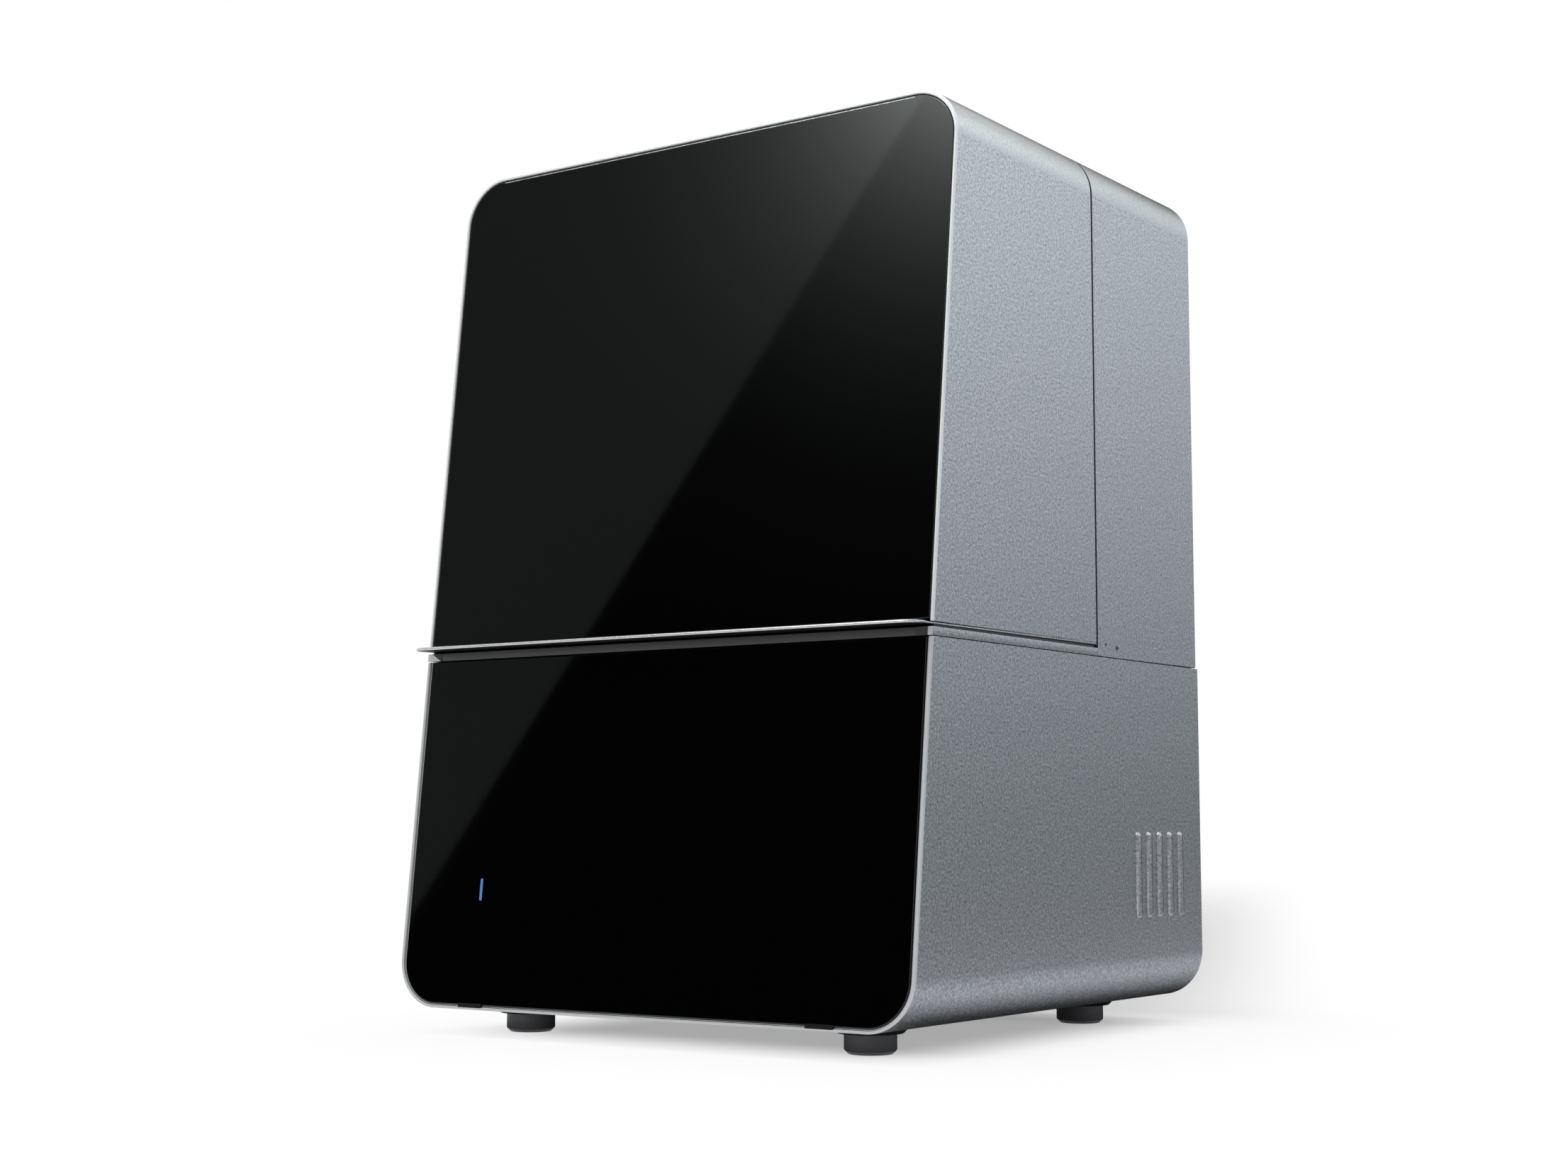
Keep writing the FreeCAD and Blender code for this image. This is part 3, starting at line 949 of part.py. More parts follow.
def lift_drive():
    """Ball screw, coupling with the motor's shaft, motor and the mount that hangs them under the deck."""
    y = "datum.screw_y"
    thread = rod("screw_thread", 0, y, "datum.deck + dims.rail_start", "dims.screw_radius",
                 "datum.column_top - dims.column_cap - datum.deck - dims.rail_start")
    upper = rod("screw_top", 0, y, "datum.column_top - 2 * dims.column_cap", "dims.top_journal_radius",
                "2 * dims.column_cap + dims.bearing_height")
    join = "datum.shaft_top + dims.coupling_gap"
    lower = rod("screw_foot", 0, y, join, "dims.low_journal_radius",
                f"datum.deck + 2 * dims.rail_start - ({join})")
    node("ball_screw", fuse("ball_screw", thread, upper, lower))
    half_length = "dims.coupling_length / 2"
    middle = "(datum.shaft_top + dims.coupling_gap / 2)"
    sleeve = rod("coupling_sleeve", 0, y, f"{middle} - {half_length}", "dims.coupling_radius",
                 "dims.coupling_length")
    upper_bore = rod("coupling_upper_bore", 0, y, middle, "dims.low_journal_radius + dims.shaft_fit",
                     half_length)
    shaft = rod("motor_shaft", 0, y, "datum.mount_bottom - dims.mount_plate", "dims.motor_shaft_radius",
                f"{middle} - datum.mount_bottom + dims.mount_plate - dims.coupling_gap / 2")
    clamp_slit = block("coupling_slit", 0, y, middle, "dims.coupling_gap / 2", "dims.coupling_radius",
                       half_length)
    bored = cut("coupling_bored", sleeve, upper_bore, clamp_slit)
    node("shaft_coupling", fuse("shaft_coupling", bored, shaft))
    width = "dims.mount_width"
    seat = block("mount_seat", 0, f"{y} - {width} / 2", "datum.ring_bottom - dims.mount_seat", width, width,
                 "dims.mount_seat")
    base = block("mount_plate", 0, f"{y} - {width} / 2", "datum.mount_bottom - dims.mount_plate", width,
                 width,
                 "dims.mount_plate")
    posts = [
        rod(f"mount_post_{side_name}_{end}", f"{side} * ({width} / 2 - dims.post_radius)",
            f"{y} + {end} * ({width} / 2 - dims.post_radius)", "datum.mount_bottom - dims.mount_plate",
            "dims.post_radius", "dims.mount_drop + dims.mount_plate - dims.mount_seat / 2")
        for side_name, side in SIDES.items() for end in (-1, 1)
    ]
    journal = rod("mount_bore", 0, y, "datum.ring_bottom - dims.mount_seat",
                  "dims.low_journal_radius + dims.journal_fit", "dims.mount_seat")
    boss_hole = rod("mount_boss_hole", 0, y, "datum.mount_bottom - dims.mount_plate",
                    "dims.motor_boss_radius + dims.screw_clearance", "dims.mount_plate")
    node("motor_mount", cut("motor_mount", fuse("mount_solid", seat, base, *posts), journal, boss_hole))
    motor_top = "datum.mount_bottom - dims.mount_plate"
    motor_width = "dims.motor_width"
    case = block("motor_case", 0, f"{y} - {motor_width} / 2", f"{motor_top} - dims.motor_height", motor_width,
                 motor_width, "dims.motor_height")
    boss = rod("motor_boss", 0, y, motor_top, "dims.motor_boss_radius", "dims.motor_boss_height")
    shaft_hole = rod("motor_shaft_hole", 0, y, motor_top, "dims.motor_shaft_radius + dims.shaft_fit",
                     "dims.motor_boss_height")
    node("z_motor", cut("z_motor", fuse("motor_solid", case, boss), shaft_hole))


def carriage():
    """Carriage plate with its rail blocks and the nut that the ball screw drives."""
    z = "datum.carriage_bottom"
    back = plate("carriage_plate", "XZ_Plane", "dims.carriage_width", "dims.carriage_height",
                 "dims.carriage_thickness", "dims.carriage_corner", ("bottom", "top"))
    node("carriage_plate", place(back, 0, "datum.carriage_front", z))
    blocks = []
    for side_name, side in SIDES.items():
        x = f"{side} * dims.rail_spacing / 2"
        for level, block_z in (("low", z), ("high", f"{z} + dims.carriage_height - dims.block_length")):
            depth = "dims.block_cover + dims.rail_thickness - dims.block_lift"
            slider = block(f"slider_{side_name}_{level}", x, "datum.block_front", block_z,
                           "dims.block_width", depth,
                           "dims.block_length")
            groove = block(f"slider_groove_{side_name}_{level}", x, "datum.rail_front - dims.block_fit",
                           block_z,
                           "dims.rail_width + 2 * dims.block_fit", "dims.rail_thickness", "dims.block_length")
            blocks.append(cut(f"rail_block_{side_name}_{level}", slider, groove))
    node("rail_blocks", group("rail_blocks", *blocks))
    nut_z = f"{z} + dims.nut_rise"
    housing = block("nut_housing", 0, "datum.block_front", nut_z, "dims.nut_width",
                    "datum.screw_y - datum.block_front + dims.nut_wall", "dims.nut_height")
    bore = rod("nut_bore", 0, "datum.screw_y", nut_z, "dims.screw_radius + dims.nut_fit", "dims.nut_height")
    node("ball_nut", cut("ball_nut", housing, bore))


def platform_arm():
    """Cantilever from the carriage to the platform, slotted to save weight, with a gusset each side."""
    length = "datum.carriage_front - datum.arm_front"
    beam = block("arm_beam", 0, "datum.arm_front", "datum.arm_bottom", "dims.arm_width", length,
                 "dims.arm_height")
    slot_start = "datum.vat_centre + dims.arm_nose"
    slot = block("arm_slot", 0, slot_start, "datum.arm_bottom", "dims.arm_slot",
                 f"datum.carriage_front - dims.arm_wall - ({slot_start})", "dims.arm_height")
    gussets = []
    for side_name, side in SIDES.items():
        x = f"{side} * (dims.arm_width / 2 - dims.gusset_thickness / 2)"
        gusset = doc.addObject("Part::Wedge", f"gusset_{side_name}")
        gusset.Placement = FreeCAD.Placement(Vector(), Rotation(Vector(1, 0, 0), 90))
        sizes = {
            "Xmin": 0, "Xmax": "dims.gusset_thickness", "X2min": 0, "X2max": "dims.gusset_thickness",
            "Ymin": 0, "Ymax": "dims.gusset_height", "Zmin": 0, "Zmax": "dims.gusset_length",
            "Z2min": 0, "Z2max": "dims.gusset_thickness",
        }
        for size_name, expression in sizes.items():
            gusset.setExpression(size_name, str(expression))
        gussets.append(place(gusset, f"{x} - dims.gusset_thickness / 2", "datum.carriage_front",
                             "datum.arm_top"))
    socket = primitive("Sphere", "arm_socket", 0, "datum.vat_centre", "datum.arm_bottom",
                       Radius="dims.ball_radius + dims.socket_fit")
    stud_hole = rod("arm_stud_hole", 0, "datum.vat_centre", "datum.arm_top - dims.knob_stud_depth",
                    "dims.knob_stud_radius + dims.knob_stud_fit", "dims.knob_stud_depth")
    node("platform_arm", cut("platform_arm", fuse("arm_solid", beam, *gussets), slot, socket, stud_hole))


def build_platform():
    """Platform plate with its sloped boss, and the ball joint that levels it, bolted to the boss."""
    width = "datum.platform_width"
    depth = "datum.platform_depth"
    slab = plate("platform_slab", "XY_Plane", width, depth, "dims.platform_thickness", "dims.platform_corner",
                 ("bottom", "top"))
    place(slab, 0, f"datum.vat_centre - {depth} / 2", "datum.platform_bottom")
    boss = doc.addObject("Part::Wedge", "platform_boss")
    boss.Placement = FreeCAD.Placement(Vector(), Rotation(Vector(1, 0, 0), 90))
    draft = "dims.boss_draft"
    sizes = {
        "Xmin": f"-dims.boss_width / 2 - {draft}", "Xmax": f"dims.boss_width / 2 + {draft}",
        "X2min": "-dims.boss_width / 2", "X2max": "dims.boss_width / 2", "Ymin": 0,
        "Ymax": "dims.boss_height",
        "Zmin": f"-dims.boss_depth / 2 - {draft}", "Zmax": f"dims.boss_depth / 2 + {draft}",
        "Z2min": "-dims.boss_depth / 2", "Z2max": "dims.boss_depth / 2",
    }
    for size_name, expression in sizes.items():
        boss.setExpression(size_name, str(expression))
    place(boss, 0, "datum.vat_centre", "datum.platform_bottom + dims.platform_thickness")
    tools = []
    bolts = []
    joint_holes = []
    for side_name, side in SIDES.items():
        for end in (-1, 1):
            x = f"{side} * (dims.ball_plate_width / 2 - dims.bolt_inset)"
            y = f"datum.vat_centre + {end} * (dims.ball_plate_depth / 2 - dims.bolt_inset)"
            radius = "dims.bolt_radius + dims.screw_clearance"
            name = f"{side_name}_{end}"
            tools.append(rod(f"boss_hole_{name}", x, y, "datum.boss_top - dims.boss_height", radius,
                             "dims.boss_height"))
            joint_holes.append(rod(f"joint_hole_{name}", x, y, "datum.boss_top", radius, "dims.ball_plate"))
            head_z = "datum.boss_top + dims.ball_plate"
            head = rod(f"bolt_head_{name}", x, y, head_z, "dims.bolt_head_radius", "dims.bolt_head_height")
            shank = rod(f"bolt_shank_{name}", x, y,
                        "datum.boss_top - dims.boss_height + dims.screw_clearance",
                        "dims.bolt_radius", "dims.boss_height + dims.ball_plate - dims.screw_clearance")
            bolts.append(fuse(f"platform_bolt_{name}", head, shank))
    node("build_platform", cut("build_platform", fuse("platform_solid", slab, boss), *tools))
    foot = block("joint_foot", 0, "datum.vat_centre - dims.ball_plate_depth / 2", "datum.boss_top",
                 "dims.ball_plate_width", "dims.ball_plate_depth", "dims.ball_plate")
    stem = rod("joint_stem", 0, "datum.vat_centre", "datum.boss_top", "dims.ball_stem_radius",
               "datum.arm_bottom - datum.boss_top")
    ball = primitive("Sphere", "joint_ball", 0, "datum.vat_centre", "datum.arm_bottom",
                     Radius="dims.ball_radius")
    node("platform_joint", cut("platform_joint", fuse("joint_solid", foot, stem, ball), *joint_holes))
    node("platform_bolts", group("platform_bolts", *bolts))


def platform_knob():
    """Lobed knob that clamps the ball joint from the top of the arm."""
    y = "datum.vat_centre"
    z = "datum.arm_top + dims.knob_gap"
    grip_z = f"{z} + dims.knob_collar_height"
    grip = rod("knob_grip", 0, y, grip_z, "dims.knob_radius", "dims.knob_height")
    hollows = [
        rod(f"knob_hollow_{index}", f"(dims.knob_radius + dims.lobe_radius / 2) * cos({turn})",
            f"{y} + (dims.knob_radius + dims.lobe_radius / 2) * sin({turn})", grip_z, "dims.lobe_radius",
            "dims.knob_height")
        for index, turn in enumerate(range(0, 360, 60))
    ]
    collar = rod("knob_collar", 0, y, z, "dims.knob_collar_radius", "dims.knob_collar_height")
    stud = rod("knob_stud", 0, y, "datum.arm_top - dims.knob_stud_depth + dims.knob_gap",
               "dims.knob_stud_radius",
               f"{grip_z} - datum.arm_top + dims.knob_stud_depth - dims.knob_gap")
    node("platform_knob", fuse("platform_knob", cut("knob_lobed", grip, *hollows), collar, stud))


def light_engine():
    """Light shroud under the exposure screen, lens plate, LED board and finned heat sink."""
    y = "datum.vat_centre"
    width = "datum.shroud_width"
    depth = "datum.shroud_depth"
    bottom = "datum.shroud_bottom"
    outside = block("shroud_outside", 0, f"{y} - {depth} / 2", bottom, width, depth, "dims.shroud_height")
    wall = "dims.shroud_wall"
    hollow = block("shroud_hollow", 0, f"{y} - {depth} / 2 + {wall}", bottom, f"{width} - 2 * {wall}",
                   f"{depth} - 2 * {wall}", "dims.shroud_height")
    ledge_outer = block("shroud_ledge_outer", 0, f"{y} - {depth} / 2",
                        f"{bottom} + dims.lens_rise - {wall}", width,
                        depth, wall)
    ledge_inner = block("shroud_ledge_inner", 0, f"{y} - {depth} / 2 + 2 * {wall}",
                        f"{bottom} + dims.lens_rise - {wall}",
                        f"{width} - 4 * {wall}", f"{depth} - 4 * {wall}", wall)
    ledge = cut("shroud_ledge", ledge_outer, ledge_inner)
    node("light_shroud", fuse("light_shroud", cut("shroud_tube", outside, hollow), ledge))
    fit = "dims.lens_fit"
    node("lens_plate", block("lens_plate", 0, f"{y} - {depth} / 2 + {wall} + {fit}",
                             f"{bottom} + dims.lens_rise",
                             f"{width} - 2 * {wall} - 2 * {fit}", f"{depth} - 2 * {wall} - 2 * {fit}",
                             "dims.lens_thickness"))
    pcb = block("led_panel", 0, f"{y} - {depth} / 2", "datum.led_bottom", width, depth, "dims.led_thickness")
    columns = (-2.5, -1.5, -0.5, 0.5, 1.5, 2.5)
    rows = (-1.5, -0.5, 0.5, 1.5)
    leds = [
        rod(f"led_{index}_{line}", f"{across} * dims.led_pitch", f"{y} + {along} * dims.led_pitch", bottom,
            "dims.led_radius", "dims.led_height")
        for index, across in enumerate(columns) for line, along in enumerate(rows)
    ]
    node("led_board", fuse("led_board", pcb, *leds))
    slab = block("sink_slab", 0, f"{y} - {depth} / 2", "datum.led_bottom - dims.sink_base", width, depth,
                 "dims.sink_base")
    fin_count = int(value(f"floor(({width} - dims.sink_fin) / dims.sink_pitch)")) + 1
    fins = [
        block(f"sink_fin_{index}", f"({index} - {(fin_count - 1) / 2}) * dims.sink_pitch",
              f"{y} - {depth} / 2",
              "datum.led_bottom - dims.sink_base - dims.sink_fin_height", "dims.sink_fin", depth,
              "dims.sink_fin_height")
        for index in range(fin_count)
    ]
    node("heat_sink", fuse("heat_sink", slab, *fins))


def base_electrics():
    """Power supply and control board on the base floor."""
    rear_edge = "datum.lower_panel - dims.electrics_rear_room"
    supply_x = "datum.half_width - dims.corner_radius - dims.supply_room - dims.supply_width / 2"
    node("power_supply", block("power_supply", supply_x, f"{rear_edge} - dims.supply_depth", "datum.floor",
                               "dims.supply_width", "dims.supply_depth", "dims.supply_height"))
    board_x = "-(datum.half_width - dims.corner_radius - dims.board_room - dims.board_width / 2)"
    board_y = f"({rear_edge} - dims.board_depth)"
    board_z = "datum.floor + dims.standoff_height"
    sheet_board = block("board_sheet", board_x, board_y, board_z, "dims.board_width", "dims.board_depth",
                        "dims.board_thickness")
    pieces = [sheet_board]
    for side_name, side in SIDES.items():
        for end in (0, 1):
            inset = "2 * dims.standoff_radius"
            x = f"{board_x} + {side} * (dims.board_width / 2 - {inset})"
            y = f"{board_y} + {inset} + {end} * (dims.board_depth - 2 * {inset})"
            pieces.append(rod(f"standoff_{side_name}_{end}", x, y, "datum.floor", "dims.standoff_radius",
                              "dims.standoff_height + dims.board_thickness / 2"))
        chip_y = f"{board_y} + dims.board_depth / 2 - dims.chip_size / 2"
        pieces.append(block(f"chip_{side_name}", f"{board_x} + {side} * dims.chip_size", chip_y,
                            f"{board_z} + dims.board_thickness / 2", "dims.chip_size", "dims.chip_size",
                            "dims.chip_height"))
    node("control_board", fuse("control_board", *pieces))


def hood():
    """Hood shell, its glass and clips, the grip lip along its lower edge and the bumpers it closes on."""
    height = "(datum.top - datum.hood_bottom)"
    body = case_shell("hood_case", height, "dims.hood_wall", ("top",), "dims.hood_depth")
    place(body, 0, "datum.front", "datum.hood_bottom")
    trimmed = cut("hood_trimmed", body, front_cutter("hood_front"))
    node("hood_shell", front_rim("hood_shell", trimmed, value("dims.corner_radius")))
    bottom = "(datum.hood_bottom + dims.glass_clearance)"
    width = "dims.body_width - 2 * dims.hood_wall - 2 * dims.glass_clearance"
    glass_height = f"(datum.roof - dims.glass_clearance - {bottom}) / cos(dims.front_lean)"
    radius = "dims.corner_radius - dims.hood_wall - dims.glass_clearance"
    glass = plate("hood_glass", "XZ_Plane", width, glass_height, "dims.glass_thickness", radius, ("top",))
    node("hood_glass", leaning(glass, 0, "dims.glass_setback", bottom))
    clips = []
    levels = {
        "low": "datum.hood_bottom + dims.corner_radius",
        "high": "datum.roof - dims.corner_radius - dims.hood_clip_height",
    }
    for side_name, side in SIDES.items():
        x = f"{side} * (datum.half_width - dims.hood_wall - dims.hood_clip_length / 2)"
        for level_name, z in levels.items():
            clips.append(leaning_block(f"hood_clip_{side_name}_{level_name}", x,
                                       "dims.glass_setback + dims.glass_thickness", z,
                                       "dims.hood_clip_length",
                                       "dims.hood_clip_thickness", "dims.hood_clip_height"))
    node("hood_clips", group("hood_clips", *clips))
    lip = plate("hood_lip", "XY_Plane", "dims.body_width", "datum.hood_rear - datum.lip_front",
                "dims.lip_thickness",
                "dims.lip_corner", ("bottom",))
    open_up(lip, "XY_Plane", "dims.body_width - 2 * dims.lip_flange",
            "datum.hood_rear - datum.lip_front - dims.lip_depth", rise="dims.lip_depth")
    node("hood_lip", place(lip, 0, "datum.lip_front", "datum.lip_bottom"))
    bumpers = []
    for side_name, side in SIDES.items():
        x = f"{side} * (datum.half_width - dims.lip_flange / 2)"
        for end_name, y in (("front", "datum.deck_front + dims.bumper_front"),
                            ("rear", "datum.hood_rear - dims.bumper_rear")):
            bumpers.append(rod(f"bumper_{side_name}_{end_name}", x, y, "datum.deck", "dims.bumper_radius",
                               "dims.hood_gap - dims.bumper_gap"))
    node("hood_bumpers", group("hood_bumpers", *bumpers))


def hood_hinges():
    """Gooseneck arms that dip under the housing's front edge, with their brackets and pins."""
    arms = []
    brackets = []
    pins = []
    y = "datum.pivot_y"
    z = "datum.pivot_z"
    tilt = "dims.leg_tilt"
    for side_name, side in SIDES.items():
        x = f"{side} * dims.hinge_spacing / 2"
        thickness = "dims.arm_plate"
        hub = rod(f"hub_{side_name}", f"{x} - {thickness} / 2", y, z, "dims.hub_radius", thickness, "x")
        leg = box(f"leg_{side_name}", 0, 0, 0, thickness, "dims.leg_width", "dims.leg_length")
        leg.Placement = FreeCAD.Placement(Vector(), Rotation(Vector(-1, 0, 0), value(tilt)))
        leg.setExpression("Placement.Rotation.Angle", tilt)
        foot_y = f"({y} - dims.leg_length * sin({tilt}))"
        foot_z = f"({z} - dims.leg_length * cos({tilt}))"
        place(leg, f"{x} - {thickness} / 2", f"{foot_y} - dims.leg_width / 2 * cos({tilt})",
              f"{foot_z} + dims.leg_width / 2 * sin({tilt})")
        riser_y = f"({y} - dims.hinge_reach - dims.leg_width / 2)"
        bar = block(f"bar_{side_name}", x, riser_y, f"{foot_z} - dims.leg_width / 2", thickness,
                    f"{foot_y} + dims.leg_width / 2 - {riser_y}", "dims.leg_width")
        riser = block(f"riser_{side_name}", x, riser_y, f"{foot_z} - dims.leg_width / 2", thickness,
                      "dims.leg_width", f"datum.roof - {foot_z} + dims.leg_width / 2")
        flange = block(f"arm_flange_{side_name}", x, f"{riser_y} + dims.leg_width - dims.arm_flange_length",
                       "datum.roof - dims.arm_flange", "dims.arm_flange_width", "dims.arm_flange_length",
                       "dims.arm_flange")
        bore = rod(f"hub_bore_{side_name}", f"{x} - {thickness} / 2", y, z,
                   "dims.hinge_pin_radius + dims.hinge_fit",
                   thickness, "x")
        blank = fuse(f"arm_blank_{side_name}", hub, leg, bar, riser, flange)
        arms.append(cut(f"hood_arm_{side_name}", blank, bore))
        gap = f"({thickness} + 2 * dims.hinge_side_gap)"
        span = f"({gap} + 2 * dims.cheek_thickness)"
        half = "dims.cheek_half_depth"
        cheek_height = f"(datum.roof - {z} + {half})"
        outside = block(f"bracket_{side_name}", x, f"{y} - {half}", f"{z} - {half}", span, f"2 * {half}",
                        cheek_height)
        sheet_thickness = f"(datum.roof - {z} - dims.hub_radius - dims.hinge_side_gap)"
        slot = block(f"bracket_slot_{side_name}", x, f"{y} - {half}", f"{z} - {half}", gap, f"2 * {half}",
                     f"{cheek_height} - {sheet_thickness}")
        pin_hole = rod(f"pin_hole_{side_name}", f"{x} - {span} / 2", y, z,
                       "dims.hinge_pin_radius + dims.hinge_fit",
                       span, "x")
        brackets.append(cut(f"hinge_bracket_{side_name}", outside, slot, pin_hole))
        pins.append(rod(f"hinge_pin_{side_name}", f"{x} - {span} / 2", y, z, "dims.hinge_pin_radius", span,
                        "x"))
    node("hood_arms", group("hood_arms", *arms))
    node("hinge_brackets", group("hinge_brackets", *brackets))
    node("hinge_pins", group("hinge_pins", *pins))


base_shell()
feet()
base_fascia()
rear_housing()
seam_seal()
back_panels()
power_inlet()
power_switch()
exhaust_fan()
data_ports()
deck()
resin_vat()
vat_thumbscrews()
lift_column()
lift_drive()
carriage()
platform_arm()
build_platform()
platform_knob()
light_engine()
base_electrics()
hood()
hood_hinges()
doc.recompute()

failed = [piece.Name for piece in doc.Objects if {"Invalid", "Error"} & set(piece.State)]
failed += [piece.Label for piece in nodes if piece.Shape.isNull() or not piece.Shape.isValid()]
if failed:
    raise RuntimeError(f"these pieces failed: {failed}")
os.makedirs("parts", exist_ok=True)
for piece in nodes:
    piece.Shape.exportStep(os.path.join("parts", f"{piece.Label}.step"))
print(len(nodes), "nodes written")
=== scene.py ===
import json
import math

import bmesh
import bpy
import numpy as np
from mathutils import Matrix, Vector

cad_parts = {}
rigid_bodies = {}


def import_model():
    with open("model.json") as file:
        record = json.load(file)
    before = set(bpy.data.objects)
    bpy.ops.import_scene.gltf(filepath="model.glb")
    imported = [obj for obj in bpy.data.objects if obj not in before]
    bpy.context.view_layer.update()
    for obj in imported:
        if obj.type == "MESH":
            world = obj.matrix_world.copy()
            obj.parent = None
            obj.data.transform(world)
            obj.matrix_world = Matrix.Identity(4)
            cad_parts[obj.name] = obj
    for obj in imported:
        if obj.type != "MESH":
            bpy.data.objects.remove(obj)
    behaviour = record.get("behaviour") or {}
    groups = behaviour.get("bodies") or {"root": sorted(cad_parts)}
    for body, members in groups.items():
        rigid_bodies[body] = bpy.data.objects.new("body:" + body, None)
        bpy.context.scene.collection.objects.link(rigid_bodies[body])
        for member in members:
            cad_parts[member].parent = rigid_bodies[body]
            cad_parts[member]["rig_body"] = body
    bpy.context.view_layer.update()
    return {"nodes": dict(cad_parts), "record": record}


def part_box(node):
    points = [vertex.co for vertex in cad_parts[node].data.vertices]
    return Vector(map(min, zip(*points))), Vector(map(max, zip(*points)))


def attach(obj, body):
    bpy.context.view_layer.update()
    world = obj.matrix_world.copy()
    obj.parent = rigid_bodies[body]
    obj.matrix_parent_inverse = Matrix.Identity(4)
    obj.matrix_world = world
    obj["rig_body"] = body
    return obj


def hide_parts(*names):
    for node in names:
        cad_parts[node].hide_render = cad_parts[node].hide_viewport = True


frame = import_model()

bl_info = {
    "name": "Resin printer looks",
    "version": (1, 0, 0),
    "blender": (4, 5, 0),
    "location": "View3D > Sidebar > Printer",
    "description": "Dresses the packed resin printer: case, glass, feet, print chamber, back and studio",
    "category": "Object",
}

SIDES = (-1.0, 1.0)


def length(name, description, default):
    """A length property."""
    return bpy.props.FloatProperty(name=name, description=description, default=default, unit="LENGTH")


def tilt(name, description, degrees):
    """An angle property, with its default in degrees."""
    return bpy.props.FloatProperty(name=name, description=description, default=math.radians(degrees),
                                   subtype="ANGLE")


def number(name, description, default):
    """A property without a unit."""
    return bpy.props.FloatProperty(name=name, description=description, default=default)


def colour(name, description, default):
    """A colour property of the finishes."""
    return bpy.props.FloatVectorProperty(name=name, description=description, default=default, size=3,
                                         subtype="COLOR", min=0.0, max=1.0)


class PrinterSizes(bpy.types.PropertyGroup):
    """Sizes of the case and its details that the frame's boxes do not give."""

    front_lean: tilt("Front lean", "Backward lean of the glass front", 6.05)
    corner_radius: length("Corner radius", "Outer radius of the case corners", 0.032)
    base_wall: length("Base wall", "Thickness of the base's folded wall", 0.0036)
    hood_wall: length("Hood wall", "Thickness of the hood and rear housing", 0.0025)
    rim_chamfer: length("Rim round", "Rounding of the bright front rim", 0.0011)
    rim_rebate: length("Rim rebate", "How much thinner the bottom rim is in front of the glass", 0.001)
    rim_step: length("Rim step", "Depth of the step inside the bright rim", 0.0015)
    edge_round: length("Edge round", "Rounding of folded sheet edges", 0.0004)
    glass_thickness: length("Glass thickness", "Thickness of both front glasses", 0.004)
    glass_setback: length("Glass setback", "How far the glass sits behind the rim", 0.0006)
    glass_clearance: length("Glass clearance", "Gap between glass and case", 0.0003)
    lip_corner: length("Lip corner", "Radius of the grip lip's front corners", 0.0125)
    lip_depth: length("Lip depth", "Depth of the grip lip across the front", 0.0395)
    lip_droop: length("Lip droop", "How far the lip's nose hangs below its root", 0.0011)
    lip_taper: length("Lip taper", "How much thinner the lip is at its nose", 0.0006)
    wall_drop: length("Wall drop", "How far the hood's sides overlap the lip", 0.0016)
    lip_flange: length("Lip flange", "Width of the grip lip along the sides", 0.014)
    strip_width: length("Strip width", "Width of the housing strips under the hood", 0.012)
    strip_fold: length("Strip fold", "Width of the bright outer fold of the side strips", 0.0034)
    strip_setback: length("Strip setback", "Front strip's distance behind the front plane", 0.0006)
    strip_height: length("Strip height", "Height of the housing strips", 0.0037)
    strip_rise: length("Strip rise", "How far the strips' folded top edge stands up", 0.0002)
    strip_drop: length("Strip drop", "How far the housing's folded lower edge hangs down", 0.0012)
    vent_pitch: length("Vent pitch", "Distance between vent beads", 0.016)
    vent_count: bpy.props.IntProperty(
        name="Vent count", description="Vent beads on each side", default=5, min=1)
    vent_radius: length("Vent radius", "Radius of a vent bead", 0.00325)
    vent_rise: length("Vent rise", "How far a vent bead stands out", 0.0022)
    vent_length: length("Vent length", "Length of a vent bead", 0.0578)
    vent_bottom: length("Vent bottom", "Vents' height above the case floor", 0.0563)
    vent_rear: length("Vent rear", "Last vent's distance from the rear edge", 0.0346)
    screw_lead: length("Screw lead", "Rise of the ball screw's groove in one turn", 0.005)
    part_edge: length("Part edge", "Broken edge on machined and folded parts", 0.0005)


class PrinterFinishes(bpy.types.PropertyGroup):
    """Colours of the printer's finishes, as linear values."""

    case_metal: colour("Case metal", "Bead-blasted metal of the case", (0.5, 0.515, 0.53))
    rim: colour("Rim", "Bright cut rim of the hood", (0.8, 0.81, 0.82))
    # Base rim: the hood rim's metal made greyer, painted shade for the dimmer light on the lower rim
    base_rim: colour("Base rim", "Cut rim of the base, a shade greyer", (0.6, 0.615, 0.63))
    # Lip: lighter than the case metal, a painted highlight along the lip's front nose
    lip: colour("Lip", "Rounded nose of the grip lip", (0.58, 0.59, 0.61))
    # Seam coat: also on the housing strips under the grip lip, as painted shade there
    seam: colour("Seam", "Dark coat on the faces of the seams", (0.05, 0.05, 0.052))
    glass: colour("Glass", "Black glass of the front", (0.0008, 0.0008, 0.0009))
    rubber: colour("Rubber", "Bumpers and seals", (0.052, 0.051, 0.052))
    foot: colour("Foot", "Rubber feet", (0.118, 0.119, 0.127))
    plastic: colour("Plastic", "Moulded black parts", (0.02, 0.02, 0.022))
    light: colour("Light", "Indicator bar", (0.075, 0.16, 0.41))
    powder: colour("Powder coat", "Back panels", (0.052, 0.053, 0.056))
    deck: colour("Deck", "Satin coat of the deck", (0.11, 0.113, 0.118))
    film: colour("Film", "Clear film and lens plastic", (0.96, 0.97, 0.97))
    aluminium: colour("Aluminium", "Machined and extruded parts", (0.55, 0.56, 0.58))
    steel: colour("Steel", "Rails, screws and ground parts", (0.48, 0.48, 0.49))
    board: colour("Board", "Solder mask of the circuit boards", (0.012, 0.09, 0.045))


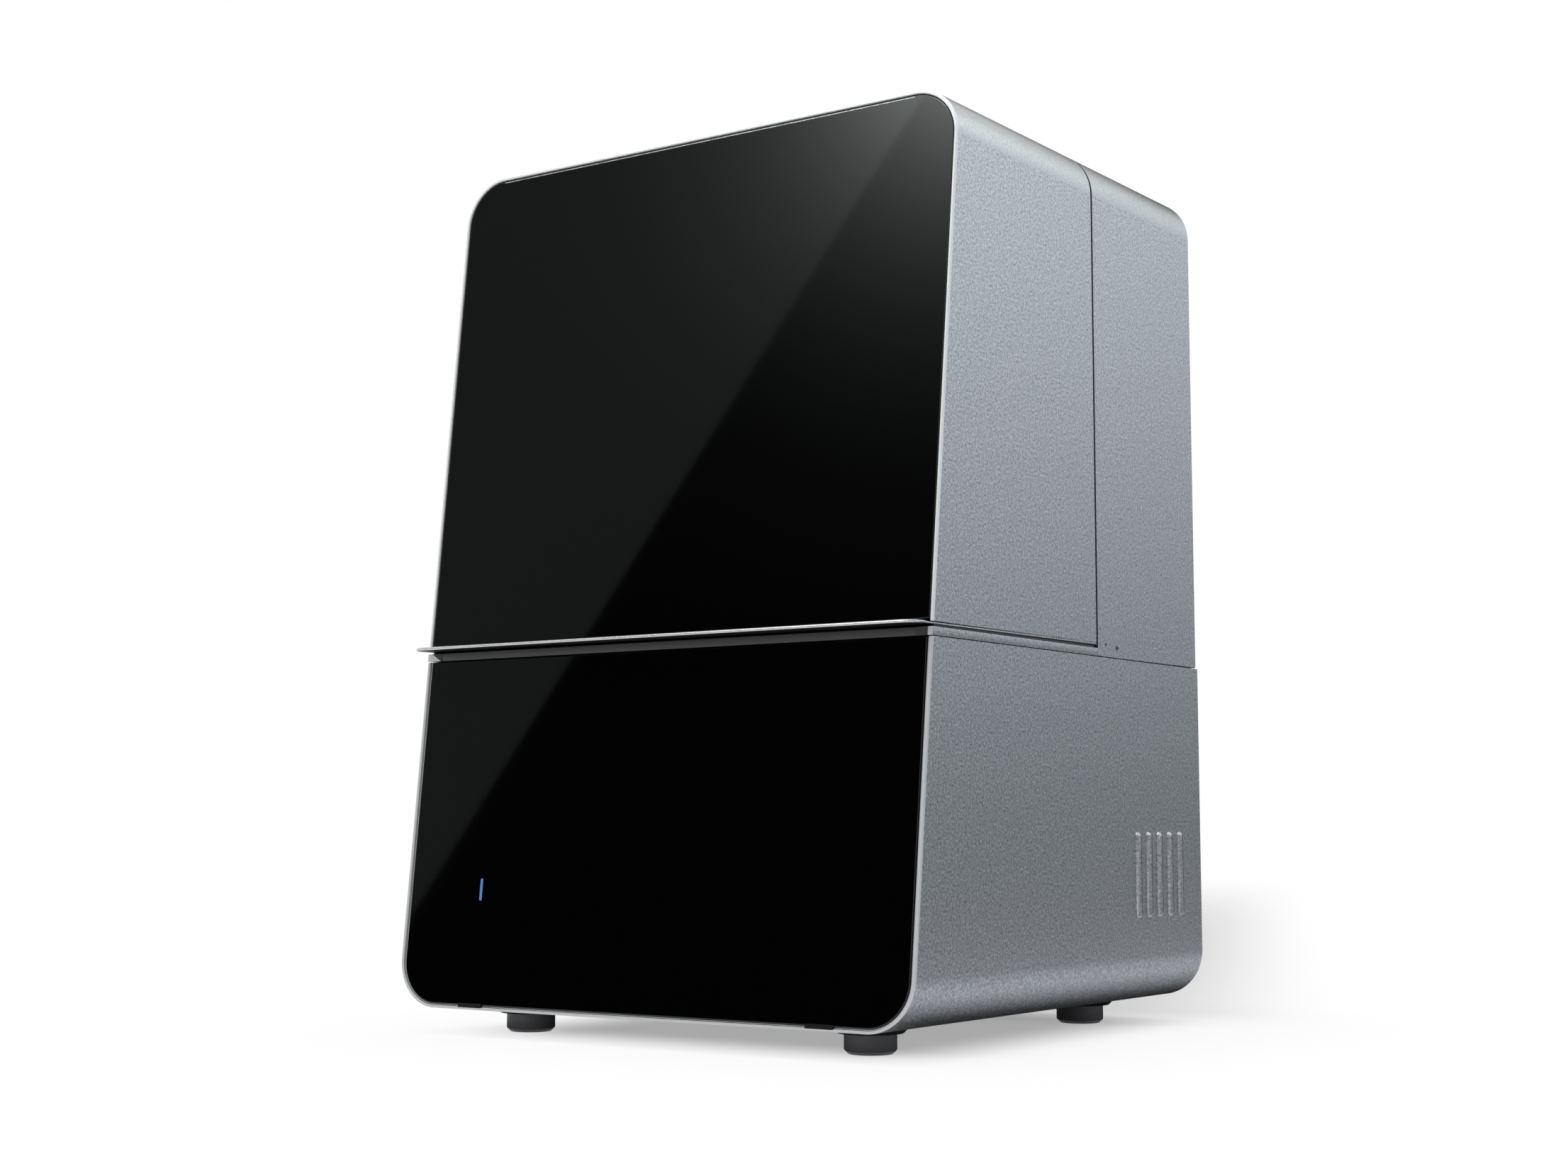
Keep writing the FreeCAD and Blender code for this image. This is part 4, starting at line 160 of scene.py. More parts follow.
class PrinterStudio(bpy.types.PropertyGroup):
    """Camera and light."""

    camera_place: bpy.props.FloatVectorProperty(
        name="Camera place", description="Camera position", default=(0.89359, -1.31042, 0.13727), size=3,
        subtype="TRANSLATION")
    azimuth: tilt("Azimuth", "Camera's turn to the right of the front", 34.955)
    pitch: tilt("Pitch", "Camera's upward tilt", 5.808)
    lens: number("Lens", "Focal length in millimetres on a 36 mm sensor", 52.98)
    background: number("Background", "Brightness of the white surroundings", 1.0)
    fill: number("Fill", "Surrounding light on matt surfaces", 0.55)
    key_power: number("Key power", "Overhead softbox in watts", 34.0)
    card_low: number("Card low", "Side card's brightness at floor level", 0.1)
    card_high: number("Card high", "Side card's brightness at the top", 1.69)


# Shapes: each is a pair of points (n, 3) and a list of faces


def grid_faces(rows, columns, wrap_rows):
    """Quads between neighbouring rows and columns of a grid: columns join their end to their start, and rows
    do so if wrapped."""
    a, b = np.meshgrid(np.arange(rows if wrap_rows else rows - 1), np.arange(columns), indexing="ij")
    c, d = (a + 1) % rows, (b + 1) % columns
    quads = np.stack([a * columns + b, c * columns + b, c * columns + d, a * columns + d], axis=-1)
    return quads.reshape(-1, 4).tolist()


def outward(points, faces):
    """Turn a closed shape's faces outwards: its signed volume, a sum over face fans, must be positive."""
    volume = 0.0
    for size in {len(face) for face in faces}:
        corners = points[np.array([face for face in faces if len(face) == size])]
        for step in range(1, size - 1):
            a, b, c = corners[:, 0], corners[:, step], corners[:, step + 1]
            volume += np.einsum("ij,ij->i", a, np.cross(b, c)).sum()
    if volume < 0:
        faces = [face[::-1] for face in faces]
    return points, faces


def skin(grid, wrap_rows=False):
    """A closed shape from a grid of points (rows, columns, 3), with flat caps on its open rows."""
    rows, columns = grid.shape[:2]
    faces = grid_faces(rows, columns, wrap_rows)
    if not wrap_rows:
        faces.append(list(range(columns)))
        faces.append(list(range((rows - 1) * columns, rows * columns))[::-1])
    return outward(grid.reshape(-1, 3), faces)


def merged(*shapes):
    """Several shapes as one."""
    points, faces, start = [], [], 0
    for shape_points, shape_faces in shapes:
        points.append(shape_points)
        faces += [[corner + start for corner in face] for face in shape_faces]
        start += len(shape_points)
    return np.concatenate(points), faces


def moved(shape, x, y, z=0.0):
    """A shape shifted in place."""
    return shape[0] + np.array([x, y, z]), shape[1]


def along_y(shape):
    """A shape made upright, laid with its height along +Y and its depth down to -Z."""
    points = shape[0]
    return outward(np.stack([points[:, 0], points[:, 2], -points[:, 1]], axis=-1), shape[1])


def along_x(shape):
    """A shape made upright, laid with its height along +X."""
    points = shape[0]
    return outward(np.stack([points[:, 2], points[:, 1], -points[:, 0]], axis=-1), shape[1])


def polar(radius, angle, height):
    """Points at a radius and an angle about Z, and at a height."""
    rounds = (radius * np.cos(angle), radius * np.sin(angle), height)
    return np.stack(np.broadcast_arrays(*rounds), axis=-1)


def full_turn(steps):
    """Angles of even steps once round."""
    return np.linspace(0, 2 * np.pi, steps, endpoint=False)


def arc(centre, radius, start, end, steps):
    """Points on an arc from one angle to another, in degrees."""
    angle = np.radians(np.linspace(start, end, steps + 1))
    return np.stack([centre[0] + radius * np.cos(angle), centre[1] + radius * np.sin(angle)], axis=-1)


def rounded_rectangle(width, depth, radii, steps, centre):
    """Outline of a rectangle, anticlockwise from the lower right; radii go lower right, upper right, upper
    left, lower left."""
    half_width, half_depth = width / 2, depth / 2
    corners = ((1, -1, -90), (1, 1, 0), (-1, 1, 90), (-1, -1, 180))
    runs = []
    for (side, end, start), radius in zip(corners, radii):
        middle = (centre[0] + side * (half_width - radius), centre[1] + end * (half_depth - radius))
        runs.append(arc(middle, radius, start, start + 90, steps))
    return np.concatenate(runs)


def outline_normals(outline):
    """Outward unit normals of an anticlockwise closed outline, from the chord between neighbours."""
    chord = np.roll(outline, -1, axis=0) - np.roll(outline, 1, axis=0)
    normal = np.stack([chord[:, 1], -chord[:, 0]], axis=-1)
    return normal / np.linalg.norm(normal, axis=1, keepdims=True)


def edge_section(height, bevel):
    """Inset and height up the side of a slab: a quarter round at the foot and another at the top."""
    angle = np.radians(np.linspace(0, 90, 4))
    foot = np.stack([bevel * (1 - np.sin(angle)), bevel * (1 - np.cos(angle))], axis=-1)
    head = np.stack([foot[::-1, 0], height - foot[::-1, 1]], axis=-1)
    return np.concatenate([foot, head])


def slab(outline, height, bevel, base):
    """A flat-capped plate on an outline: each ring is the outline moved inwards by the section's inset. A
    ring just inside each cap keeps the cap's shading flat."""
    hold = 1.6 * bevel
    section = np.concatenate([[[hold, 0.0]], edge_section(height, bevel), [[hold, height]]])
    rings = outline[None] - section[:, None, :1] * outline_normals(outline)[None]
    level = np.broadcast_to(base + section[:, 1][:, None, None], rings.shape[:2] + (1,))
    return skin(np.concatenate([rings, level], axis=-1))


def block(low, high, bevel):
    """A box between two corners with its edges rounded."""
    low, high = np.array(low), np.array(high)
    size = high - low
    outline = rounded_rectangle(size[0], size[1], (bevel,) * 4, 3, ((low + high) / 2)[:2])
    return slab(outline, size[2], bevel, low[2])


def side_blocks(inner, outer, low, high, bevel):
    """A block on each side, between two distances from the middle and two corners of y and z."""
    spans = ((-outer, -inner), (inner, outer))
    return [block((start, *low), (end, *high), bevel) for start, end in spans]


def lathe(profile, segments, ripple=None):
    """A profile of radius and height turned about Z; ripple scales the radius by angle and height."""
    profile = np.array(profile)
    angle = full_turn(segments)[None]
    radius, height = profile[:, :1], profile[:, 1:]
    if ripple is not None:
        radius = radius * ripple(angle, height)
    return skin(polar(radius, angle, height))


def turned_profile(radius, low, high, bevel):
    """Profile of a turned disc or rod with rounded ends."""
    inset, height = edge_section(high - low, bevel).T
    return np.stack([radius - inset, low + height], axis=-1)


def torus(ring_radius, wire_radius):
    """A wire ring about Z: circle of the wire carried round the ring."""
    around, across = full_turn(64)[:, None], full_turn(10)[None]
    reach, height = ring_radius + wire_radius * np.cos(across), wire_radius * np.sin(across)
    return skin(polar(reach, around, height), wrap_rows=True)


def linked(name, data):
    """An object for a mesh, lamp or camera, put into the scene."""
    made = bpy.data.objects.new(name, data)
    bpy.context.scene.collection.objects.link(made)
    return made


def piece(name, shape, body, finishes, replaces=(), sharp=35.0, kinds=None):
    """Put a shape into the scene as one piece that rides on a body and may stand for CAD nodes. Kinds number
    the finish of each face, and edges that turn by more than the sharp angle, in degrees, stay sharp."""
    points, faces = shape
    mesh = bpy.data.meshes.new(name)
    mesh.from_pydata(points.tolist(), [], faces)
    for finish_name in finishes:
        mesh.materials.append(material(finish_name))
    if kinds is not None:
        mesh.polygons.foreach_set("material_index", np.asarray(kinds, dtype=np.int32))
    mesh.shade_smooth()
    mesh.set_sharp_from_angle(angle=math.radians(sharp))
    settled(linked(name, mesh), body, replaces)


def settled(made, body, replaces):
    """Tie a piece to its body and the nodes it stands for."""
    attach(made, body)
    if replaces:
        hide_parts(*replaces)


MERGE_DISTANCE = 1e-6
FLAT_ANGLE, SHARP_ANGLE, BEVEL_ANGLE = (math.radians(degrees) for degrees in (0.5, 30, 40))


def broken_edges(node, chosen):
    """A merged copy of a CAD node with its sharp edges broken by a narrow bevel."""
    source = frame["nodes"][node]
    name = f"{node}_finished"
    mesh = source.data.copy()
    mesh.name = name
    work = bmesh.new()
    work.from_mesh(mesh)
    bmesh.ops.remove_doubles(work, verts=work.verts, dist=MERGE_DISTANCE)
    bmesh.ops.dissolve_limit(work, angle_limit=FLAT_ANGLE, verts=work.verts, edges=work.edges)
    work.to_mesh(mesh)
    work.free()
    mesh.materials.clear()
    mesh.materials.append(chosen)
    mesh.shade_smooth()
    mesh.set_sharp_from_angle(angle=SHARP_ANGLE)
    made = linked(name, mesh)
    bevel = made.modifiers.new("broken edges", "BEVEL")
    bevel.width = bpy.context.scene.printer_sizes.part_edge
    bevel.segments = 2
    bevel.limit_method = "ANGLE"
    bevel.angle_limit = BEVEL_ANGLE
    settled(made, source["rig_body"], (node,))


# Node groups: each puts out values that change over the surface


def shader_group(name, inputs, outputs):
    """A shader node group with named sockets."""
    group = bpy.data.node_groups.new(name, "ShaderNodeTree")
    for socket, kind, default in inputs:
        made = group.interface.new_socket(name=socket, in_out="INPUT", socket_type=kind)
        if default is not None:
            made.default_value = default
    for socket, kind in outputs:
        group.interface.new_socket(name=socket, in_out="OUTPUT", socket_type=kind)
    return group


def add_node(tree, kind, **settings):
    """A node with its attributes set."""
    made = tree.nodes.new(kind)
    for attribute, setting in settings.items():
        setattr(made, attribute, setting)
    return made


def math_node(tree, operation, first, second, clamp=False):
    """A math node fed by sockets or numbers."""
    made = add_node(tree, "ShaderNodeMath", operation=operation, use_clamp=clamp)
    for socket, source in zip(made.inputs, (first, second)):
        feed(tree, source, socket)
    return made.outputs[0]


def feed(tree, source, socket):
    """Link a socket to another, or set its value."""
    if isinstance(source, bpy.types.NodeSocket):
        tree.links.new(source, socket)
    else:
        socket.default_value = source


def noise_value(tree, vector, scale, detail, roughness=0.55):
    """A noise texture's value."""
    made = add_node(tree, "ShaderNodeTexNoise")
    feed(tree, vector, made.inputs["Vector"])
    feed(tree, scale, made.inputs["Scale"])
    made.inputs["Detail"].default_value = detail
    made.inputs["Roughness"].default_value = roughness
    return made.outputs["Fac"]


def stretched(tree, vector, scale):
    """Coordinates scaled apart along the three axes."""
    made = add_node(tree, "ShaderNodeMapping")
    tree.links.new(vector, made.inputs["Vector"])
    feed(tree, scale, made.inputs["Scale"])
    return made.outputs["Vector"]


def mapped(tree, value, limits, smoothing="LINEAR"):
    """A value carried over from one range to another; limits are the low and high of the first, then of the
    second."""
    made = add_node(tree, "ShaderNodeMapRange", interpolation_type=smoothing)
    tree.links.new(value, made.inputs["Value"])
    for socket, limit in zip(("From Min", "From Max", "To Min", "To Max"), limits):
        feed(tree, limit, made.inputs[socket])
    return made.outputs["Result"]


def spread(tree, value, middle, reach):
    """A value of 0 to 1 laid out about a middle, by a reach to each side."""
    low = math_node(tree, "SUBTRACT", middle, reach)
    high = math_node(tree, "ADD", middle, reach)
    return mapped(tree, value, (0.0, 1.0, low, high))


def weighted(tree, first, second, share, clamp=False):
    """Two values mixed by the first one's share."""
    return math_node(tree, "ADD", math_node(tree, "MULTIPLY", first, share),
                     math_node(tree, "MULTIPLY", second, 1.0 - share), clamp)


def place_axes(tree, place=None):
    """X, Y and Z of a place, or of the object's own coordinates."""
    if place is None:
        place = add_node(tree, "ShaderNodeTexCoord").outputs["Object"]
    made = add_node(tree, "ShaderNodeSeparateXYZ")
    tree.links.new(place, made.inputs[0])
    return made.outputs["X"], made.outputs["Y"], made.outputs["Z"]


def tinted(tree, colour_socket, value):
    """A colour multiplied by a value."""
    made = add_node(tree, "ShaderNodeMix", data_type="RGBA", blend_type="MULTIPLY")
    made.inputs["Factor"].default_value = 1.0
    feed(tree, colour_socket, made.inputs["A"])
    tree.links.new(value, made.inputs["B"])
    return made.outputs["Result"]


VECTOR, NUMBER, COLOUR = "NodeSocketVector", "NodeSocketFloat", "NodeSocketColor"
FINISH_INPUTS = (("Vector", VECTOR, None), ("Colour", COLOUR, None), ("Scale", NUMBER, 1000.0),
                 ("Contrast", NUMBER, 0.1), ("Roughness", NUMBER, 0.4), ("Spread", NUMBER, 0.1))
FINISH_OUTPUTS = (("Colour", COLOUR), ("Roughness", NUMBER), ("Height", NUMBER))


def finish_group(name, pattern):
    """A finish: a pattern of 0 to 1 that shades the colour, spreads the roughness and gives a height."""
    group = shader_group(name, FINISH_INPUTS, FINISH_OUTPUTS)
    entry = add_node(group, "NodeGroupInput").outputs
    leave = add_node(group, "NodeGroupOutput").inputs
    value = pattern(group, entry["Vector"], entry["Scale"])
    shade = spread(group, value, 1.0, entry["Contrast"])
    group.links.new(tinted(group, entry["Colour"], shade), leave["Colour"])
    group.links.new(spread(group, value, entry["Roughness"], entry["Spread"]), leave["Roughness"])
    group.links.new(value, leave["Height"])
    return group


def blasted(tree, vector, scale):
    """Speckle of a blasted surface: grains of two sizes, with their contrast stretched."""
    grains = noise_value(tree, vector, scale, 1.0, 0.6)
    fine = noise_value(tree, vector, math_node(tree, "MULTIPLY", scale, 2.1), 1.0, 0.6)
    return mapped(tree, weighted(tree, grains, fine, 0.62), (0.34, 0.66, 0.0, 1.0))


def grained(tree, vector, scale):
    """Even grain of a moulded or powder-coated surface."""
    return noise_value(tree, vector, scale, 2.0, 0.6)


def brushed(tree, vector, scale):
    """Lines of a ground, brushed or extruded surface: noise on coordinates stretched before the group."""
    fine = noise_value(tree, vector, scale, 4.0, 0.65)
    broad = noise_value(tree, vector, math_node(tree, "MULTIPLY", scale, 0.12), 2.0)
    return weighted(tree, fine, broad, 0.7, clamp=True)


def smudged(tree, vector, scale):
    """Faint wipe marks on polished glass: slow noise times a noise squeezed along X."""
    slow = noise_value(tree, vector, scale, 3.0)
    squeezed = stretched(tree, vector, (6.0, 1.0, 1.5))
    wipes = noise_value(tree, squeezed, math_node(tree, "MULTIPLY", scale, 3.0), 2.0)
    return math_node(tree, "MULTIPLY", slow, wipes, clamp=True)


RELIEF_DEPTH = 0.0001
LIGHT_STRENGTH = 0.45
GROUPS = {}
MATERIALS = {}
PATTERNS = {"Blasted": blasted, "Grained": grained, "Brushed": brushed, "Smudged": smudged}


def finish(name, pattern, tint, values, bump=0.0, even=None, stretch=None):
    """A material: a finish group feeding a Principled shader, whose even values stand on its own sockets. The
    four values are the pattern's scale, its contrast, the roughness and the roughness's spread."""
    if pattern not in GROUPS:
        GROUPS[pattern] = finish_group(pattern, PATTERNS[pattern])
    made = bpy.data.materials.new(name)
    made.use_nodes = True
    tree = made.node_tree
    shader = tree.nodes["Principled BSDF"]
    for socket, setting in (even or {}).items():
        shader.inputs[socket].default_value = setting
    place = add_node(tree, "ShaderNodeTexCoord").outputs["Object"]
    if stretch is not None:
        place = stretched(tree, place, stretch)
    group = add_node(tree, "ShaderNodeGroup", node_tree=GROUPS[pattern])
    tree.links.new(place, group.inputs["Vector"])
    group.inputs["Colour"].default_value = (*tint, 1.0)
    for socket, setting in zip(("Scale", "Contrast", "Roughness", "Spread"), values):
        group.inputs[socket].default_value = setting
    tree.links.new(group.outputs["Colour"], shader.inputs["Base Color"])
    tree.links.new(group.outputs["Roughness"], shader.inputs["Roughness"])
    if bump:
        relief = add_node(tree, "ShaderNodeBump")
        relief.inputs["Strength"].default_value = bump
        relief.inputs["Distance"].default_value = RELIEF_DEPTH
        tree.links.new(group.outputs["Height"], relief.inputs["Height"])
        tree.links.new(relief.outputs["Normal"], shader.inputs["Normal"])
    return made


def material(name):
    """A material by its name, built from its recipe on first use."""
    if name not in MATERIALS:
        title, pattern, tint, *values = RECIPES[name]
        MATERIALS[name] = finish(title, pattern, getattr(bpy.context.scene.printer_finishes, tint), *values)
        if name == "light":
            lit(MATERIALS[name])
    return MATERIALS[name]


def lit(made):
    """Let a material glow in its own colour."""
    tree = made.node_tree
    shader = tree.nodes["Principled BSDF"]
    group = next(node for node in tree.nodes if node.type == "GROUP")
    tree.links.new(group.outputs["Colour"], shader.inputs["Emission Color"])
    shader.inputs["Emission Strength"].default_value = LIGHT_STRENGTH


ALONG_X = (0.02, 1.0, 1.0)
ALONG_Z = (1.0, 1.0, 0.02)
METAL = {"Metallic": 1.0}
CUT_METAL = {"Metallic": 0.35}
DARK_METAL = {"Metallic": 0.6}
DULL = {"Specular IOR Level": 0.2}
GLASS = {"IOR": 1.5}
CLEAR_FILM = {"IOR": 1.35, "Transmission Weight": 1.0}
CLEAR_PLASTIC = {"IOR": 1.49, "Transmission Weight": 1.0}

# Title, pattern, colour, values, bump, even values and stretch of each finish
RECIPES = {
    "case_metal": ("case_metal", "Blasted", "case_metal", (620.0, 0.42, 0.34, 0.05), 0.3, METAL),
    "case_curve": ("case_curve", "Blasted", "case_metal", (620.0, 0.18, 0.23, 0.03), 0.1, METAL),
    "rim": ("rim", "Grained", "rim", (2500.0, 0.04, 0.4, 0.03), 0.0, CUT_METAL),
    # The base rim is the rim's finish in a greyer colour: painted shade
    "base_rim": ("base_rim", "Grained", "base_rim", (2500.0, 0.04, 0.4, 0.03), 0.0, CUT_METAL),
    "seam": ("seam_coat", "Grained", "seam", (1800.0, 0.12, 0.5, 0.06), 0.2),
    # Lip metal: a smoother finish, and a lighter colour that is a painted highlight on the lip's nose
    "lip_metal": ("lip_metal", "Blasted", "lip", (1150.0, 0.1, 0.3, 0.05), 0.1, METAL),
    # Black clip coat: the real glass clips, and painted shade on the rim grooves and the lip's underside
    "clip": ("clip_plastic", "Grained", "glass", (2600.0, 0.2, 0.5, 0.06), 0.3, DULL),
    "glass": ("black_glass", "Smudged", "glass", (9.0, 0.05, 0.035, 0.012), 0.0, GLASS),
    "rubber": ("foot_rubber", "Grained", "rubber", (1500.0, 0.25, 0.5, 0.08), 0.3),
    "foot": ("foot_tread", "Grained", "foot", (1500.0, 0.25, 0.5, 0.08), 0.3),
    "plastic": ("black_plastic", "Grained", "plastic", (2600.0, 0.15, 0.42, 0.06), 0.35),
    "light": ("indicator", "Grained", "light", (900.0, 0.1, 0.25, 0.05)),
    "powder": ("powder_coat", "Grained", "powder", (1300.0, 0.14, 0.48, 0.07), 0.45),
    "machined": ("machined_aluminium", "Brushed", "aluminium", (700.0, 0.1, 0.3, 0.07), 0.08, METAL, ALONG_X),
    "extruded": ("extruded_aluminium", "Brushed", "aluminium", (700.0, 0.08, 0.34, 0.06), 0.08, METAL,
                 ALONG_Z),
    "ground": ("ground_steel", "Brushed", "steel", (900.0, 0.1, 0.22, 0.06), 0.05, METAL, ALONG_Z),
    "steel": ("screw_steel", "Brushed", "steel", (1200.0, 0.12, 0.28, 0.06), 0.0, METAL),
    "black_steel": ("hinge_steel", "Grained", "plastic", (1500.0, 0.2, 0.35, 0.06), 0.1, DARK_METAL),
    "wire": ("guard_wire", "Brushed", "rim", (600.0, 0.05, 0.12, 0.03), 0.0, METAL),
    "screen": ("screen_glass", "Smudged", "glass", (14.0, 0.08, 0.06, 0.02), 0.0, GLASS),
    "film": ("release_film", "Smudged", "film", (11.0, 0.06, 0.1, 0.04), 0.0, CLEAR_FILM),
    "clear": ("clear_plastic", "Smudged", "film", (16.0, 0.04, 0.05, 0.02), 0.0, CLEAR_PLASTIC),
    "deck": ("deck_coat", "Grained", "deck", (1300.0, 0.14, 0.42, 0.07), 0.45),
    "sheet": ("galvanised_sheet", "Blasted", "steel", (90.0, 0.35, 0.38, 0.08), 0.05, METAL),
    "board": ("circuit_board", "Grained", "board", (260.0, 0.35, 0.35, 0.08), 0.1),
}

# Finish of the CAD nodes that keep their shape, by their slot in the record
SLOT_FINISH = {
    "back_sheet": "powder", "black_plastic": "plastic", "circuit_board": "board",
    "column_aluminium": "extruded", "deck_metal": "deck", "foot_rubber": "rubber",
    "hinge_steel": "black_steel", "lens_clear": "clear", "motor_black": "black_steel",
    "platform_aluminium": "machined", "port_metal": "steel", "rail_steel": "ground", "release_film": "film",
    "screen_glass": "screen", "screw_steel": "steel", "shroud_black": "plastic", "sink_aluminium": "extruded",
    "supply_case": "sheet", "vat_aluminium": "machined",
}


# Case

FRONT_EDGE = -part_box("base_shell")[1].y
REBATE_DEPTH = 0.009
CASE_SHARP = 28.0
# Y, Z and radius of the nubs on the housing's sides
SIDE_NUBS = ((0.0513, 0.2539, 0.0009), (0.0671, 0.2525, 0.0014))


def front_plane(z):
    """Y of the leaning front plane at height z: the base's front edge carried up the lean."""
    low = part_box("base_shell")[0].z
    return FRONT_EDGE + (z - low) * math.tan(bpy.context.scene.printer_sizes.front_lean)


def u_path(half_width, low, high, radius, opens_up, steps=24):
    """Points and inward normals of a U: two straight sides joined over two quarter-round corners."""
    mirror = np.array([-1.0, 1.0])
    end = high if opens_up else low
    turn = low + radius if opens_up else high - radius
    start_angle, middle_angle = (180, 270) if opens_up else (180, 90)
    left = arc((radius - half_width, turn), radius, start_angle, middle_angle, steps)
    points = np.concatenate([[[-half_width, end]], left, left[::-1] * mirror, [[half_width, end]]])
    normal = -arc((0.0, 0.0), 1.0, start_angle, middle_angle, steps)
    mirrored = normal[::-1] * mirror
    return points, np.concatenate([normal[:1], normal, mirrored, mirrored[-1:]])


def wall_section(wall, round_edge, step, edge, band, groove):
    """Section of a case wall, from the outer front edge round to the outer rear edge: depth into the wall,
    whether it is measured from the front (1) or the rear (0), distance from that end, and its finish. The
    front has a rounded outer edge, a flat band, a step whose groove floor takes the black clip coat as
    painted shade, a thin inner trim and a seat for a glass."""
    curve = round_edge * (1 - arc((0.0, 0.0), 1.0, 0, 90, 4))
    trim = 0.85 * step
    front = [(0.0, round_edge + edge)] + curve.tolist() + [
        (band - 0.5 * edge, 0.0), (band, 0.5 * edge), (band, step), (band + groove, step),
        (band + groove, trim), (wall - 0.3 * edge, trim), (wall, trim + edge), (wall, REBATE_DEPTH),
        (wall, REBATE_DEPTH + edge)]
    rear = [(wall, edge), (wall - edge, 0.0), (edge, 0.0), (0.0, edge)]
    depth, reach = np.array(front + rear).T
    share = np.array([1.0] * len(front) + [0.0] * len(rear))
    # Kind 2 is the groove floor, in the black clip coat: painted shade in the step
    finishes = np.array([0] + [1] * 7 + [2] + [1] * 3 + [0] * 7)
    return depth, share, reach, finishes


def plain_section(wall, front_edge, rear_edge):
    """Section of a wall with both ends square and their edges broken; the front end faces the hood in
    black."""
    depth = np.array([0.0, front_edge, wall - front_edge, wall, wall, wall - rear_edge, rear_edge, 0.0])
    share = np.array([1.0] * 4 + [0.0] * 4)
    reach = np.array([front_edge, 0.0, 0.0, front_edge, rear_edge, 0.0, 0.0, rear_edge])
    return depth, share, reach, np.array([2, 2, 2, 0, 0, 0, 0, 0])


def case_wall(path, section, rear, edge, straight_front=None, rebate=0.0):
    """A folded wall and the kinds of its faces: each point of the U carries the section, depth along the
    inward normal, and the front end follows the leaning plane at its own height. The U's ends get the same
    rounding as its edges. A rebate thins the front of the wall from inside where it lies flat, so that a
    glass can stand lower there."""
    points, normals = path
    depth, share, reach, finishes = section
    wall = depth.max()
    inset = edge * (1 - 2 * depth / wall)
    first, last = points[1] - points[0], points[-2] - points[-1]
    first = points[:1] + edge * first / np.linalg.norm(first)
    last = points[-1:] + edge * last / np.linalg.norm(last)
    points = np.concatenate([points[:1], first, points[1:-1], last, points[-1:]])
    normals = np.concatenate([normals[:1], normals, normals[-1:]])
    shrink = np.zeros((len(points), 1))
    shrink[[0, -1]] = 1.0
    seat = (share > 0.5) & (reach <= REBATE_DEPTH)
    thinned = rebate / wall * seat * np.clip(normals[:, 1:], 0.0, 1.0)
    inward = depth[None] * (1 - thinned) + shrink * inset[None]
    end = reach[None] + shrink * edge
    x = points[:, :1] + inward * normals[:, :1]
    z = points[:, 1:] + inward * normals[:, 1:]
    front = front_plane(z) if straight_front is None else np.full_like(z, straight_front)
    y = share * (front + end) + (1 - share) * (rear - end)
    caps = [0, 0]
    return skin(np.stack([x, y, z], axis=-1)), np.concatenate([np.tile(finishes, len(points) - 1), caps])


def base_case():
    """Base: folded wall with its bright rim, greyer than the hood's rim as painted shade, and the raised vent
    beads with their slits, black blocks of painted shade, on both sides.
    """
    sizes = bpy.context.scene.printer_sizes
    low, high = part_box("base_shell")
    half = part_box("rear_housing")[1].x
    band, groove = 0.7 * sizes.base_wall, 0.12 * sizes.base_wall
    path = u_path(half, low.z, high.z, sizes.corner_radius, True)
    section = wall_section(sizes.base_wall, sizes.rim_chamfer, sizes.rim_step, sizes.edge_round, band, groove)
    shape, kinds = case_wall(path, section, high.y, sizes.edge_round, rebate=sizes.rim_rebate)
    piece("base_case", shape, "chassis", ("case_metal", "base_rim", "clip"), ("base_shell",),
          CASE_SHARP, kinds)
    side_vents(half, low.z, high.y)


def side_vents(half, floor, rear):
    """Vents in both side walls: capsules sunk in the wall, each a rod with a hemisphere at either end, and a
    black plastic block along the rear flank of each, painted shade standing in for its opening."""
    sizes = bpy.context.scene.printer_sizes
    radius, rise = sizes.vent_radius, sizes.vent_rise
    slit_depth, slit_half = 0.5 * radius, 0.3 * rise
    start = floor + sizes.vent_bottom
    end = start + sizes.vent_length
    angle = np.radians(np.linspace(4, 90, 10))
    foot = np.stack([radius * np.sin(angle), start + radius * (1 - np.cos(angle))], axis=-1)
    head = np.stack([foot[::-1, 0], start + end - foot[::-1, 1]], axis=-1)
    bead = lathe(np.concatenate([foot, head]), 32)
    beads, slits = [], []
    for side in SIDES:
        x, middle = side * (half + rise - radius), side * (half + 0.35 * rise)
        for index in range(sizes.vent_count):
            y = rear - sizes.vent_rear - index * sizes.vent_pitch
            beads.append(moved(bead, x, y))
            # Black block in the bead's rear flank: painted shade for the slit's opening
            slits.append(block((middle - slit_half, y + radius - slit_depth, start + radius),
                               (middle + slit_half, y + radius * 0.97, end - radius), 0.0002))
    piece("side_vents", merged(*beads), "chassis", ("case_metal",))
    piece("vent_slit_painted_shade", merged(*slits), "chassis", ("plastic",))


def curve_faces(shape, kinds, kind):
    """Kinds of a wall's faces, with another kind for its metal faces round the upper corners, which are
    polished smoother than the flats."""
    points, faces = shape
    middle = np.array([points[list(face)].mean(axis=0) for face in faces])
    radius = bpy.context.scene.printer_sizes.corner_radius
    corner = points.max(axis=0) - radius
    turned = (np.abs(middle[:, 0]) > corner[0]) & (middle[:, 2] > corner[2])
    return np.where(turned & (np.asarray(kinds) == 0), kind, kinds)


